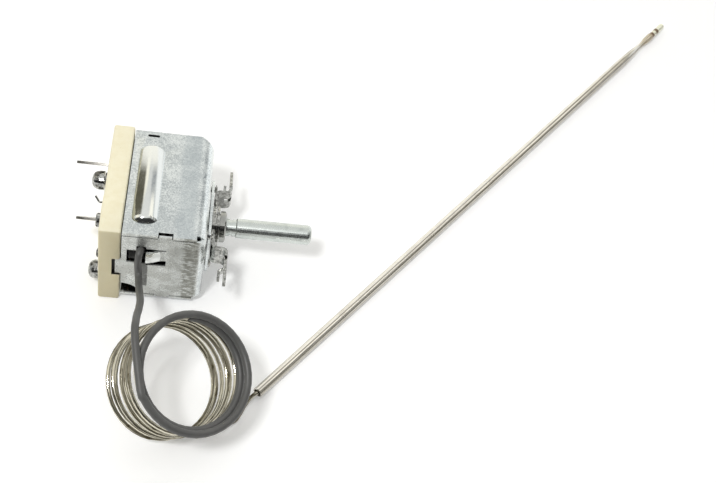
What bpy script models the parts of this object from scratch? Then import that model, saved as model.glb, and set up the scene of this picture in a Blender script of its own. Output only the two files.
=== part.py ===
"""Capillary thermostat of an oven, lying on its side, with its coiled capillary and its probe.

Metres, +Z up. The spindle points along +X and the terminals point along -X.
The origin is on the surface the part lies on, below the spindle's axis,
half way through the thickness of the insulating base.
"""
from math import ceil, cos, pi, radians, sin, sqrt

import bmesh
import bpy
from mathutils import Matrix, Vector

# Clearances
SEAT_GAP = 0.0003
BORE_GAP = 0.0003

# How far a cutter reaches past what it cuts
PAST = 0.001

# Spindle axis above the surface
AXIS_HEIGHT = 0.0160

# Insulating base: a moulded slab behind the case
BASE_THICKNESS = 0.0062
BASE_FRONT = 0.0183
BASE_BACK = 0.0235
BASE_ABOVE_AXIS = 0.0148
CREST_RISE = 0.0018
FRONT_EDGE_RISE = 0.0005
CREST_PLACE = -0.0085
RAMP_LENGTH = 0.0052
BASE_EDGE = 0.0006
KEY_RECESS = 0.0023
KEY_DEPTH = 0.0018

# Steel case: one folded sheet, open towards the base
SHEET = 0.0008
CASE_LENGTH = 0.0237
CASE_FRONT = 0.0176
CASE_BACK = 0.0226
CASE_BELOW_AXIS = 0.0140
CASE_ABOVE_AXIS = 0.0142
FOLD_RADIUS = 0.0030
FOLD_STEPS = 5
FLAP_UNDERCUT = 0.00005
RELIEF_SIZE = 0.0021
CORNER_LENGTH = 0.0051
CORNER_WIDTH = 0.0039
CORNER_DROP = 0.0034
KEY_LENGTH = 0.0017
KEY_BELOW_AXIS = 0.0041
KEY_ABOVE_AXIS = 0.0029
LATCH_START = 0.0101
LATCH_WIDTH = 0.0042
LATCH_NOTCH = 0.0017
SCALLOP_LENGTH = 0.0055
SCALLOP_HEIGHT = 0.0043
SCALLOP_STEPS = 12

# Window of the capillary in the case's front flap, heights from the axis
WINDOW_START = 0.0015
WINDOW_END = 0.0127
WINDOW_LOW = 0.0016
WINDOW_HIGH = 0.0073
OUTLET_START = 0.0042
OUTLET_HIGH = 0.0093
WINDOW_CORNER = 0.00025

# Tongue lanced out of the window's sheet, which guards the capillary's first bend
TONGUE_START = 0.0070
TONGUE_LOW = 0.0034
TONGUE_HIGH = 0.0077
UPPER_SLIT = 0.0006
LOWER_SLIT = 0.0024
TONGUE_ROOT = 0.0006
TONGUE_LIFT = 0.0014
TONGUE_TROUGH = 0.0007
TONGUE_STEPS = 8
SLOT_START = 0.0037
SLOT_LENGTH = 0.0035
SLOT_WIDTH = 0.0009
SLOT_FROM_BACK = 0.0013

# Pressed rib on the case's top
RIB_WIDTH = 0.0074
RIB_LENGTH = 0.0300
RIB_HEIGHT = 0.0019
RIB_END = 0.0026
RIB_END_STEPS = 6
RIB_PLACE_X = 0.0057
RIB_PLACE_Y = 0.0017

# Plates outside the case's end wall
BEARING_PLATE_WIDTH = 0.0226
BEARING_PLATE_HEIGHT = 0.0180
BEARING_PLATE = 0.0008
PLATE_CORNER = 0.0020
PLATE_RIVET_FROM_END = 0.0025
PLATE_RIVET_FROM_SIDE = 0.0026
PLATE_RIVET_RADIUS = 0.0009
PLATE_RIVET_HEAD = 0.0017
PLATE_RIVET_HEAD_HEIGHT = 0.0006
WASHER_RADIUS = 0.0063
WASHER = 0.0008

# Mounting clip with two hooked ears
CLIP_SHEET = 0.0009
CLIP_WIDTH = 0.0072
CLIP_REACH = 0.0108
CLIP_RISE = 0.0043
EAR_LENGTH = 0.0107
EAR_TIP = 0.0016
CLIP_BEND = 0.0010
CLIP_EYE_RADIUS = 0.0055
PRONG_WIDTH = 0.0018
PRONG_LENGTH = 0.0062
PRONG_DROP = 0.0017
EAR_SLOT_LENGTH = 0.0030
EAR_SLOT_WIDTH = 0.0016

# Bushing, its two flanges hold the plates
BUSHING_RADIUS = 0.0038
INNER_FLANGE_RADIUS = 0.0056
INNER_FLANGE = 0.0012
COLLAR_RADIUS = 0.0047
COLLAR = 0.0018
COLLAR_EDGE = 0.0004

# Spindle
SPINDLE_RADIUS = 0.0030
SPINDLE_LENGTH = 0.0228
NECK_RADIUS = 0.0026
NECK_LENGTH = 0.0030
NECK_GROOVE = 0.0003
NECK_GROOVE_LENGTH = 0.0008
SPINDLE_EDGE = 0.0003
SPINDLE_END_ROUND = 0.0013
SPINDLE_TURN = 300.0
THREAD_ENGAGEMENT = 0.0044
THREAD_PITCH = 0.00096

# Stop disc on the spindle and its pin in the end wall
STOP_DISC_RADIUS = 0.0062
STOP_DISC = 0.0012
LUG_RADIUS = 0.0092
LUG_HALF_ANGLE = 12.0
LUG_STEPS = 4
STOP_PIN_RADIUS = 0.0013
STOP_PIN_REACH = 0.0080
STOP_PIN_ANGLE = -100.0

# Diaphragm capsule and the carrier that the spindle's thread moves
CARRIER_PLATE = 0.0010
CARRIER_WIDTH = 0.0120
CARRIER_HUB_RADIUS = 0.0045
CARRIER_HUB_LENGTH = 0.0042
CARRIER_FLOOR = 0.0010
CAPSULE_RADIUS = 0.0095
CAPSULE_THICKNESS = 0.0034
CAPSULE_RIM = 0.0010
CAPSULE_WAVES = 3
WAVE_HEIGHT = 0.00035

# Plunger between capsule and contact blade
PLUNGER_RADIUS = 0.0015
PLUNGER_COLLAR_RADIUS = 0.0024
PLUNGER_COLLAR = 0.0007
PLUNGER_EDGE = 0.0003
PLUNGER_STROKE = 0.0004

# Contact system along one slanting line through the axis
CONTACT_ANGLE = 41.0
BLADE_WIDTH = 0.0050
BLADE = 0.0003
BLADE_CORNER = 0.0005
BLADE_ANCHOR = 0.0160
BLADE_REACH = 0.0068
BLADE_SPACER = 0.0004
CONTACT_PLACE = 0.0050
CONTACT_RADIUS = 0.0015
CONTACT_HEIGHT = 0.0007
CONTACT_SHANK = 0.0008
TERMINAL_SHEET = 0.0008
TERMINAL_WIDTH = 0.0063
TERMINAL_TIP_CHAMFER = 0.0012
TERMINAL_TIP_LENGTH = 0.0026
TERMINAL_HOLE = 0.0008
TERMINAL_HOLE_PLACE = 0.0050
UPPER_TERMINAL_PLACE = 0.0150
UPPER_TERMINAL_REACH = 0.0094
LOWER_TERMINAL_PLACE = -0.0013
LOWER_TERMINAL_REACH = 0.0082
ARM_END = 0.0033
ARM_WALL = 0.0073
RIVET_RADIUS = 0.0013
RIVET_HEAD_RADIUS = 0.0029
UPPER_RIVET_HEAD_HEIGHT = 0.0036
LOWER_RIVET_HEAD_HEIGHT = 0.0031
RIVET_HEAD_BLUNTNESS = 0.67
RIVET_HEAD_STEPS = 6
RIVET_INNER_HEAD = 0.0023
RIVET_INNER_HEIGHT = 0.0008
UPPER_RIVET_PLACE = 0.0103

# Tab washer under the upper rivet's head, its tail curled up
TAB_SHEET = 0.0005
TAB_RING = 0.0025
TAB_WIDTH = 0.0026
TAB_FOLD = 0.0042
TAB_SLANT = 0.0006
TAB_HOOK = 0.0013
TAB_RISE = 0.0027
TAB_TIP = 0.0056
TAB_BEND = 0.0005

# Guide bridge of the plunger
BRIDGE_SHEET = 0.0008
BRIDGE_WIDTH = 0.0076
BRIDGE_FRONT = 0.0116
BRIDGE_BACK = 0.0162
BRIDGE_HEIGHT = 0.0077
BRIDGE_FOOT = 0.0048
BRIDGE_RIVET_RADIUS = 0.0009
BRIDGE_RIVET_HEAD = 0.0013
BRIDGE_RIVET_HEAD_HEIGHT = 0.0006

# Calibration screw at the back of the base
SCREW_PLACE = (-0.0080, 0.0075)
SCREW_RADIUS = 0.0012
SCREW_HEAD_RADIUS = 0.0021
SCREW_HEAD_HEIGHT = 0.0014
SCREW_EDGE = 0.0003
SCREW_SLOT = 0.0005
SCREW_SLOT_DEPTH = 0.0006

# Capillary, sleeve and coil
CAPILLARY_DIAMETER = 0.0012
SLEEVE_DIAMETER = 0.0021
EXIT_PLACE = 0.0059
EXIT_DEPTH = 0.0023
EXIT_ABOVE_AXIS = 0.0053
FIRST_BEND = [
    (0.0000, 0.0000, 0.0000),
    (-0.0002, -0.0012, 0.0009),
    (-0.0003, -0.0022, 0.0020),
    (-0.0004, -0.0031, 0.0032),
    (-0.0005, -0.0036, 0.0037),
    (-0.0006, -0.0042, 0.0039),
    (-0.0007, -0.0049, 0.0037),
    (-0.0008, -0.0053, 0.0032),
    (-0.0008, -0.0055, 0.0025),
    (-0.0009, -0.0056, 0.0010),
    (-0.0008, -0.0058, -0.0011),
    (-0.0006, -0.0065, -0.0026),
]
LEAD_ROUTE = [
    (0.0090, -0.0236, 0.0181),
    (0.0094, -0.0270, 0.0192),
    (0.0100, -0.0320, 0.0225),
    (0.0106, -0.0380, 0.0275),
    (0.0107, -0.0440, 0.0322),
    (0.0105, -0.0498, 0.0359),
    (0.0108, -0.0558, 0.0360),
]
STUB_ROUTE = [
    (0.0140, -0.0100, 0.0223),
    (0.0123, -0.0123, 0.0215),
    (0.0104, -0.0136, 0.0204),
]
STUB_ANGLE = 145.0
COIL_CENTRE = (0.0266, -0.0591, 0.0269)
COIL_LEAN = 33.6
COIL_BEARING = -36.8
COIL_RADIUS = 0.01575
COIL_LENGTH = 0.0211
SLEEVED_INNER = 0.0140
SLEEVED_OUTER = 0.01725
SLEEVED_LENGTH = 0.0038
PROBE_LEAD_ROUTE = [
    (0.0294, -0.0605, 0.00065),
    (0.0330, -0.0597, 0.00065),
    (0.0368, -0.0588, 0.00065),
    (0.0396, -0.0572, 0.00065),
    (0.0410, -0.0548, 0.00070),
    (0.0419, -0.0526, 0.00080),
    (0.0431, -0.0504, 0.00100),
    (0.0439, -0.0494, 0.00120),
    (0.0447, -0.0486, 0.00140),
    (0.0454, -0.0481, 0.00160),
]

# Probe, from its open end to its pinched tip
PROBE_START = (0.0456, -0.0480)
PROBE_BEARING = 50.28
PROBE_RADIUS = 0.0016
PROBE_WALL = 0.0004
PROBE_EDGE = 0.0001
PROBE_MOUTH = 0.0030
PROBE_TUBE_LENGTH = 0.2078
PROBE_TAPER = 0.0123
PROBE_NECK_RADIUS = 0.00085
PROBE_NECK_LENGTH = 0.0025
PROBE_FLARE_RADIUS = 0.0013
PROBE_FLARE_LENGTH = 0.0084
PROBE_TIP_RADIUS = 0.0011
PROBE_TIP_LENGTH = 0.0073

# Roundness of turned pieces
FINE = 40
MEDIUM = 24
COARSE = 16
COIL_STEPS = 48

# Places worked out from the sizes above
BASE_REAR = -BASE_THICKNESS / 2
BASE_FACE = BASE_THICKNESS / 2
BASE_HEIGHT = AXIS_HEIGHT + BASE_ABOVE_AXIS
CREST_HEIGHT = BASE_HEIGHT + CREST_RISE
FRONT_EDGE_HEIGHT = BASE_HEIGHT + FRONT_EDGE_RISE
CASE_BOTTOM = AXIS_HEIGHT - CASE_BELOW_AXIS
CASE_TOP = AXIS_HEIGHT + CASE_ABOVE_AXIS
KEY_LOW = AXIS_HEIGHT - KEY_BELOW_AXIS
KEY_HIGH = AXIS_HEIGHT + KEY_ABOVE_AXIS
RIVET_SPREAD_Y = BEARING_PLATE_WIDTH / 2 - PLATE_RIVET_FROM_END
RIVET_SPREAD_Z = BEARING_PLATE_HEIGHT / 2 - PLATE_RIVET_FROM_SIDE
CASE_START = BASE_FACE + SEAT_GAP
CASE_END = CASE_START + CASE_LENGTH
END_WALL = CASE_END - SHEET
PLATE_START = CASE_END + SEAT_GAP
PLATE_END = PLATE_START + BEARING_PLATE
CLIP_START = PLATE_END + SEAT_GAP
CLIP_END = CLIP_START + CLIP_SHEET
WASHER_START = CLIP_END + SEAT_GAP
WASHER_END = WASHER_START + WASHER
COLLAR_START = WASHER_END + SEAT_GAP
COLLAR_END = COLLAR_START + COLLAR
FLANGE_END = END_WALL - SEAT_GAP
FLANGE_START = FLANGE_END - INNER_FLANGE
SHOULDER = COLLAR_END + NECK_LENGTH
SPINDLE_END = SHOULDER + SPINDLE_LENGTH
DISC_END = FLANGE_START - SEAT_GAP
DISC_START = DISC_END - STOP_DISC
SPINDLE_START = DISC_END - THREAD_ENGAGEMENT
CARRIER_TRAVEL = THREAD_PITCH * SPINDLE_TURN / 360
CARRIER_END = DISC_START - CARRIER_TRAVEL - 2 * SEAT_GAP
PLATE_OF_CARRIER = CARRIER_END - CARRIER_HUB_LENGTH
CARRIER_START = PLATE_OF_CARRIER - CARRIER_PLATE
CAPSULE_END = CARRIER_START - SEAT_GAP
CAPSULE_START = CAPSULE_END - CAPSULE_THICKNESS
TAB_START = BASE_REAR - SEAT_GAP
TAB_END = TAB_START - TAB_SHEET
STRIP_START = BASE_FACE + SEAT_GAP
STRIP_END = STRIP_START + TERMINAL_SHEET
SPACER_START = STRIP_END + SEAT_GAP
SPACER_END = SPACER_START + BLADE_SPACER
BLADE_START = SPACER_END + SEAT_GAP
BLADE_END = BLADE_START + BLADE
MOVING_CONTACT_END = BLADE_END + SEAT_GAP + CONTACT_HEIGHT
FIXED_CONTACT_START = MOVING_CONTACT_END + SEAT_GAP
ARM_START = FIXED_CONTACT_START + CONTACT_HEIGHT + SEAT_GAP
ARM_FACE = ARM_START + TERMINAL_SHEET
BRIDGE_FACE = BASE_FACE + BRIDGE_HEIGHT
PLUNGER_START = BLADE_END + SEAT_GAP
PLUNGER_END = CAPSULE_START - SEAT_GAP
EXIT = Vector((CASE_START + EXIT_PLACE, EXIT_DEPTH - CASE_FRONT, AXIS_HEIGHT + EXIT_ABOVE_AXIS))
AXIS = Vector((0.0, 0.0, AXIS_HEIGHT))
LINE = Vector((0.0, cos(radians(CONTACT_ANGLE)), sin(radians(CONTACT_ANGLE))))
ACROSS = Vector((0.0, -LINE.z, LINE.y))
OUTWARD = Vector((1.0, 0.0, 0.0))


def on_line(place, depth=0.0):
    """Point at a distance along the contact line, at a depth along X."""
    return AXIS + LINE * place + OUTWARD * depth


def finish(name, colour, roughness, metallic):
    """Principled material of one finish."""
    material = bpy.data.materials.new(name)
    material.use_nodes = True
    shader = material.node_tree.nodes["Principled BSDF"]
    shader.inputs["Base Color"].default_value = (*colour, 1.0)
    shader.inputs["Roughness"].default_value = roughness
    shader.inputs["Metallic"].default_value = metallic
    return material


def add_box(bm, low, high):
    """Box between two corners."""
    low = Vector(low)
    high = Vector(high)
    size = high - low
    place = Matrix.Translation((low + high) / 2) @ Matrix.Diagonal((*size, 1.0))
    return bmesh.ops.create_cube(bm, size=1.0, matrix=place)["verts"]


def add_rod(bm, start, end, radius, segments=COARSE):
    """Round rod between two points."""
    start = Vector(start)
    end = Vector(end)
    run = end - start
    turn = Vector((0.0, 0.0, 1.0)).rotation_difference(run).to_matrix().to_4x4()
    place = Matrix.Translation((start + end) / 2) @ turn
    bmesh.ops.create_cone(
        bm, cap_ends=True, segments=segments, radius1=radius, radius2=radius,
        depth=run.length, matrix=place,
    )


def add_bore(bm, place, start, end, radius, segments=COARSE):
    """Hole along X through what lies between two depths, reaching past both."""
    low = (start - PAST, place[1], place[2])
    high = (end + PAST, place[1], place[2])
    add_rod(bm, low, high, radius, segments)


def add_prism(bm, outline, origin, right, up, low, high):
    """Outline in a plane, pushed along the plane's normal from low to high."""
    right = Vector(right)
    up = Vector(up)
    normal = right.cross(up)
    base = Vector(origin) + normal * low
    corners = [bm.verts.new(base + right * a + up * b) for a, b in outline]
    face = bm.faces.new(corners)
    pushed = bmesh.ops.extrude_face_region(bm, geom=[face])["geom"]
    moved = [item for item in pushed if isinstance(item, bmesh.types.BMVert)]
    bmesh.ops.translate(bm, verts=moved, vec=normal * (high - low))


def add_turned(bm, profile, start, direction, segments=MEDIUM):
    """Profile of (place along the axis, radius), turned about an axis through start."""
    start = Vector(start)
    direction = Vector(direction).normalized()
    side = direction.orthogonal().normalized()
    points = [bm.verts.new(start + direction * a + side * r) for a, r in profile]
    edges = [bm.edges.new(pair) for pair in zip(points, points[1:])]
    if profile[0] != profile[-1] and min(profile[0][1], profile[-1][1]) > 0:
        edges.append(bm.edges.new((points[-1], points[0])))
    bmesh.ops.spin(
        bm, geom=points + edges, cent=start, axis=direction, angle=2 * pi,
        steps=segments, use_merge=True,
    )


def tidy(bm):
    """Weld the seams and turn every face outwards."""
    bmesh.ops.remove_doubles(bm, verts=bm.verts, dist=1e-6)
    bmesh.ops.recalc_face_normals(bm, faces=bm.faces)


def place_object(name, bm, parent=None):
    """Object of a mesh, with its origin on its parent's."""
    tidy(bm)
    if parent is not None:
        bmesh.ops.translate(bm, verts=bm.verts, vec=-parent.location)
    mesh = bpy.data.meshes.new(name)
    bm.to_mesh(mesh)
    bm.free()
    piece = bpy.data.objects.new(name, mesh)
    bpy.context.scene.collection.objects.link(piece)
    piece.parent = parent
    return piece


def piece_of(name, bm, material, parent=None):
    """Visible piece with one finish, smooth on its round faces."""
    piece = place_object(name, bm, parent)
    piece.data.materials.append(material)
    piece.data.shade_smooth()
    piece.data.set_sharp_from_angle(angle=radians(32))
    return piece


def tool_of(name, bm, parent=None):
    """Hidden mesh that cuts or joins another."""
    tool = place_object(name, bm, parent)
    tool.hide_render = True
    tool.display_type = "WIRE"
    return tool


def apply_tool(piece, tool, operation):
    """Exact boolean of a piece with a hidden tool."""
    modifier = piece.modifiers.new(tool.name, "BOOLEAN")
    modifier.operation = operation
    modifier.solver = "EXACT"
    modifier.object = tool


def cut(piece, name, bm, parent=None):
    """Take a mesh away from a piece."""
    apply_tool(piece, tool_of(name, bm, parent), "DIFFERENCE")


def weld(piece, name, bm, parent=None):
    """Join a mesh to a piece as one solid."""
    apply_tool(piece, tool_of(name, bm, parent), "UNION")


def joint_empty(name, place):
    """Empty on a joint's axis, parent of the pieces that move on it."""
    empty = bpy.data.objects.new(name, None)
    empty.location = place
    bpy.context.scene.collection.objects.link(empty)
    return empty


def round_corners(outline, radius, steps=4):
    """Outline with an arc of one radius at every corner."""
    rounded = []
    count = len(outline)
    for index, corner in enumerate(outline):
        here = Vector(corner)
        before = (Vector(outline[index - 1]) - here).normalized()
        after = (Vector(outline[(index + 1) % count]) - here).normalized()
        half = before.angle(after) / 2
        reach = radius / sin(half) if half > 0 else 0.0
        centre = here + (before + after).normalized() * reach
        first = here + before * (reach * cos(half)) - centre
        last = here + after * (reach * cos(half)) - centre
        turn = first.angle_signed(last)
        for step in range(steps + 1):
            angle = -turn * step / steps
            spoke = Vector((
                first.x * cos(angle) - first.y * sin(angle),
                first.x * sin(angle) + first.y * cos(angle),
            ))
            rounded.append(tuple(centre + spoke))
    return rounded


def folded_outline(path, thickness, bend, steps=4):
    """Outline of a sheet folded along a path, with round bends."""
    points = [Vector(point) for point in path]
    left = []
    right = []
    half = thickness / 2
    for index, here in enumerate(points):
        if index in (0, len(points) - 1):
            run = points[1] - points[0] if index == 0 else points[-1] - points[-2]
            side = Vector((-run.y, run.x)).normalized()
            left.append(here + side * half)
            right.append(here - side * half)
            continue
        before = (points[index - 1] - here).normalized()
        after = (points[index + 1] - here).normalized()
        opening = before.angle(after) / 2
        turn = -before.cross(after)
        inner = 1.0 if turn > 0 else -1.0
        middle = bend + half
        centre = here + (before + after).normalized() * (middle / sin(opening))
        first = here + before * (middle / sin(opening) * cos(opening)) - centre
        sweep = pi - 2 * opening
        for step in range(steps + 1):
            angle = inner * sweep * step / steps
            spoke = Vector((
                first.x * cos(angle) - first.y * sin(angle),
                first.x * sin(angle) + first.y * cos(angle),
            )).normalized()
            near = centre + spoke * bend
            far = centre + spoke * (bend + thickness)
            left.append(near if inner > 0 else far)
            right.append(far if inner > 0 else near)
    return [tuple(point) for point in left + right[::-1]]


def smooth_route(points, spacing):
    """Evenly spaced points on a smooth curve through the route's own points."""
    route = [Vector(point) for point in points]
    padded = [2 * route[0] - route[1]] + route + [2 * route[-1] - route[-2]]
    fine = []
    for a, b, c, d in zip(padded, padded[1:], padded[2:], padded[3:]):
        for step in range(20):
            t = step / 20
            fine.append(0.5 * (
                2 * b + (c - a) * t + (2 * a - 5 * b + 4 * c - d) * t ** 2
                + (3 * b - 3 * c + d - a) * t ** 3
            ))
    fine.append(route[-1])
    length = sum((q - p).length for p, q in zip(fine, fine[1:]))
    count = max(2, ceil(length / spacing))
    chosen = [fine[0]]
    walked = 0.0
    for p, q in zip(fine, fine[1:]):
        walked += (q - p).length
        if walked >= length * len(chosen) / count:
            chosen.append(q)
    chosen[-1] = fine[-1]
    return chosen


def tube_along(name, points, diameter, material, spacing, parent=None):
    """Round tube along a route, closed at both ends."""
    shift = parent.location if parent is not None else Vector()
    chosen = smooth_route(points, spacing)
    curve = bpy.data.curves.new(name, "CURVE")
    curve.dimensions = "3D"
    curve.bevel_depth = diameter / 2
    curve.bevel_resolution = 2
    curve.use_fill_caps = True
    spline = curve.splines.new("POLY")
    spline.points.add(len(chosen) - 1)
    for point, place in zip(spline.points, chosen):
        point.co = (*(place - shift), 1.0)
    curve.materials.append(material)
    tube = bpy.data.objects.new(name, curve)
    bpy.context.scene.collection.objects.link(tube)
    tube.parent = parent
    return tube


def build_base(material):
    """Insulating base: slab with a crest on its upper edge, keyways and slots."""
    ramp_end = CREST_PLACE + RAMP_LENGTH
    outline = [
        (-BASE_FRONT, 0.0),
        (BASE_BACK, 0.0),
        (BASE_BACK, BASE_HEIGHT),
        (ramp_end, BASE_HEIGHT),
        (CREST_PLACE, CREST_HEIGHT),
        (-BASE_FRONT, FRONT_EDGE_HEIGHT),
    ]
    bm = bmesh.new()
    add_prism(bm, outline, (0, 0, 0), (0, 1, 0), (0, 0, 1), BASE_REAR, BASE_FACE)
    tidy(bm)
    base = piece_of("insulating_base", bm, material)
    bevel = base.modifiers.new("moulded edge", "BEVEL")
    bevel.width = BASE_EDGE
    bevel.segments = 2
    bevel.limit_method = "ANGLE"
    bevel.angle_limit = radians(40)

    keys = bmesh.new()
    low = KEY_LOW - SEAT_GAP
    high = KEY_HIGH + SEAT_GAP
    recess = BASE_FACE - KEY_RECESS
    face = BASE_FACE + PAST
    add_box(keys, (recess, -BASE_FRONT - PAST, low), (face, KEY_DEPTH - BASE_FRONT, high))
    add_box(keys, (recess, BASE_BACK - KEY_DEPTH, low), (face, BASE_BACK + PAST, high))
    cut(base, "keyways", keys)

    slots = bmesh.new()
    half_width = TERMINAL_WIDTH / 2 + BORE_GAP
    half_sheet = TERMINAL_SHEET / 2 + BORE_GAP
    for place in (UPPER_TERMINAL_PLACE, LOWER_TERMINAL_PLACE):
        outline = [
            (place - half_sheet, -half_width),
            (place + half_sheet, -half_width),
            (place + half_sheet, half_width),
            (place - half_sheet, half_width),
        ]
        add_prism(slots, outline, AXIS, LINE, ACROSS, BASE_REAR - PAST, BASE_FACE + PAST)
    for place in (-BLADE_ANCHOR, UPPER_RIVET_PLACE):
        add_bore(slots, on_line(place), BASE_REAR, BASE_FACE, RIVET_RADIUS + BORE_GAP)
    for y in bridge_rivet_places():
        add_bore(slots, (0.0, y, AXIS_HEIGHT), BASE_REAR, BASE_FACE, BRIDGE_RIVET_RADIUS + BORE_GAP)
    add_bore(slots, screw_place(), BASE_REAR, BASE_FACE, SCREW_RADIUS + BORE_GAP)
    cut(base, "base holes", slots)
    return base


def screw_place():
    """Place of the calibration screw."""
    y, z = SCREW_PLACE
    return AXIS + Vector((0.0, y, z))


def shell_block(grow, open_end):
    """Block with rounded edges round its +X face, grown by a distance on every side."""
    bm = bmesh.new()
    add_box(
        bm,
        (CASE_START - open_end, -CASE_FRONT - grow, CASE_BOTTOM - grow),
        (CASE_END + grow, CASE_BACK + grow, CASE_TOP + grow),
    )
    rim = [edge for edge in bm.edges if all(v.co.x > CASE_START + PAST for v in edge.verts)]
    bmesh.ops.bevel(
        bm, geom=rim, offset=FOLD_RADIUS + grow, segments=FOLD_STEPS, profile=0.5,
        affect="EDGES", material=-1,
    )
    return bm


def rib_capsule(grow):
    """Long round body whose cap stands above the case's top as the pressed rib."""
    half = RIB_WIDTH / 2
    radius = (half * half + RIB_HEIGHT * RIB_HEIGHT) / (2 * RIB_HEIGHT)
    depth = radius - RIB_HEIGHT
    straight = RIB_LENGTH - 2 * RIB_END * sqrt(1 - (depth / radius) ** 2)
    profile = []
    for step in range(RIB_END_STEPS + 1):
        angle = pi / 2 * step / RIB_END_STEPS
        reach = straight / 2 + (RIB_END + grow) * cos(angle)
        profile.append((-reach, (radius + grow) * sin(angle)))
    profile += [(-a, r) for a, r in reversed(profile)]
    bm = bmesh.new()
    centre = (CASE_START + RIB_PLACE_X, RIB_PLACE_Y, CASE_TOP - depth)
    add_turned(bm, profile, centre, (0, 1, 0), MEDIUM)
    return bm


def rib_above(grow, floor):
    """Cap of the rib's body above a height, closed below."""
    bm = rib_capsule(grow)
    bmesh.ops.bisect_plane(
        bm, geom=bm.verts[:] + bm.edges[:] + bm.faces[:], plane_co=(0, 0, floor),
        plane_no=(0, 0, 1), clear_inner=True,
    )
    bmesh.ops.holes_fill(bm, edges=bm.edges)
    return bm


def window_outline():
    """Window of the capillary with the slits above and below its tongue, in X and Z."""
    start = CASE_START + WINDOW_START
    end = CASE_START + WINDOW_END
    tongue = CASE_START + TONGUE_START
    outlet = CASE_START + OUTLET_START
    low = AXIS_HEIGHT + WINDOW_LOW
    high = AXIS_HEIGHT + WINDOW_HIGH
    outlet_high = AXIS_HEIGHT + OUTLET_HIGH
    slit_low = AXIS_HEIGHT + TONGUE_LOW - LOWER_SLIT
    slit_high = AXIS_HEIGHT + TONGUE_HIGH + UPPER_SLIT
    corners = [
        (start, low), (tongue, low), (tongue, slit_low), (end, slit_low), (end, slit_high),
        (tongue, slit_high), (tongue, outlet_high), (outlet, outlet_high), (outlet, high), (start, high),
    ]
    return round_corners(corners, WINDOW_CORNER)


def lanced_tongue():
    """Tongue of the window's sheet: flat at its root, lifted and troughed towards its free end."""
    middle = AXIS_HEIGHT + (TONGUE_LOW + TONGUE_HIGH) / 2
    half = (TONGUE_HIGH - TONGUE_LOW) / 2
    root = CASE_START + WINDOW_END + TONGUE_ROOT
    bend = CASE_START + WINDOW_END - TONGUE_ROOT
    tip = CASE_START + TONGUE_START
    face = FLAP_UNDERCUT - CASE_FRONT
    places = [(root, 0.0)]
    for step in range(TONGUE_STEPS + 1):
        along = step / TONGUE_STEPS
        places.append((bend + (tip - bend) * along, along * along * (3 - 2 * along)))
    bm = bmesh.new()
    rows = []
    for x, share in places:
        row = []
        for across in (-1.0, -0.5, 0.0, 0.5, 1.0):
            lift = TONGUE_LIFT + TONGUE_TROUGH * (1 - across * across)
            row.append(bm.verts.new((x, face - lift * share, middle + half * across)))
        rows.append(row)
    for near, far in zip(rows, rows[1:]):
        for corners in zip(near, near[1:], far[1:], far):
            bm.faces.new(corners)
    pushed = bmesh.ops.extrude_face_region(bm, geom=bm.faces[:])["geom"]
    moved = [item for item in pushed if isinstance(item, bmesh.types.BMVert)]
    bmesh.ops.translate(bm, verts=moved, vec=(0.0, SHEET - 2 * FLAP_UNDERCUT, 0.0))
    return bm


def case_slits():
    """Slits that part the front and back flaps from the bottom and top ones."""
    bm = bmesh.new()
    end = CASE_END - FOLD_RADIUS + RELIEF_SIZE / 2
    deep = SHEET + FLAP_UNDERCUT
    for low in (CASE_BOTTOM + SHEET - FLAP_UNDERCUT, CASE_TOP - SHEET - SEAT_GAP):
        high = low + SEAT_GAP + FLAP_UNDERCUT
        add_box(bm, (CASE_START - PAST, -CASE_FRONT - PAST, low), (end, deep - CASE_FRONT, high))
        add_box(bm, (CASE_START - PAST, CASE_BACK - deep, low), (end, CASE_BACK + PAST, high))
    return bm


def case_reliefs():
    """Square reliefs where three folds meet, and the corner that is cut off at the back."""
    bm = bmesh.new()
    start = CASE_END - FOLD_RADIUS + RELIEF_SIZE * 0.1
    half_y = RELIEF_SIZE * 0.8
    half_z = RELIEF_SIZE * 0.6
    for y, z in ((-CASE_FRONT, CASE_BOTTOM), (-CASE_FRONT, CASE_TOP), (CASE_BACK, CASE_BOTTOM)):
        add_box(bm, (start, y - half_y, z - half_z), (start + RELIEF_SIZE, y + half_y, z + half_z))
    corner = [
        (CASE_END - CORNER_LENGTH, CASE_BACK + PAST),
        (CASE_END + PAST, CASE_BACK - CORNER_WIDTH),
        (CASE_END + PAST, CASE_BACK + PAST),
    ]
    add_prism(bm, corner, (0, 0, 0), (1, 0, 0), (0, 1, 0), CASE_TOP - CORNER_DROP, CASE_TOP + PAST)
    return bm


def case_openings():
    """Window, slot at the back of the top, and the end wall's bores."""
    bm = bmesh.new()
    add_prism(bm, window_outline(), (0, 0, 0), (1, 0, 0), (0, 0, 1),
              CASE_FRONT - SHEET - PAST, CASE_FRONT + PAST)
    start = CASE_START + SLOT_START
    end = start + SLOT_LENGTH
    back = CASE_BACK - SLOT_FROM_BACK
    slot = [(start, back - SLOT_WIDTH), (end, back - SLOT_WIDTH), (end, back), (start, back)]
    add_prism(bm, round_corners(slot, SLOT_WIDTH * 0.4, 3), (0, 0, 0), (1, 0, 0), (0, 1, 0),
              CASE_TOP - SHEET - PAST, CASE_TOP + PAST)
    add_bore(bm, AXIS, END_WALL, CASE_END, BUSHING_RADIUS + BORE_GAP, MEDIUM)
    add_bore(bm, stop_pin_place(), END_WALL, CASE_END, STOP_PIN_RADIUS + BORE_GAP)
    for place in plate_rivet_places():
        add_bore(bm, place, END_WALL, CASE_END, PLATE_RIVET_RADIUS + BORE_GAP)
    return bm


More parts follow.
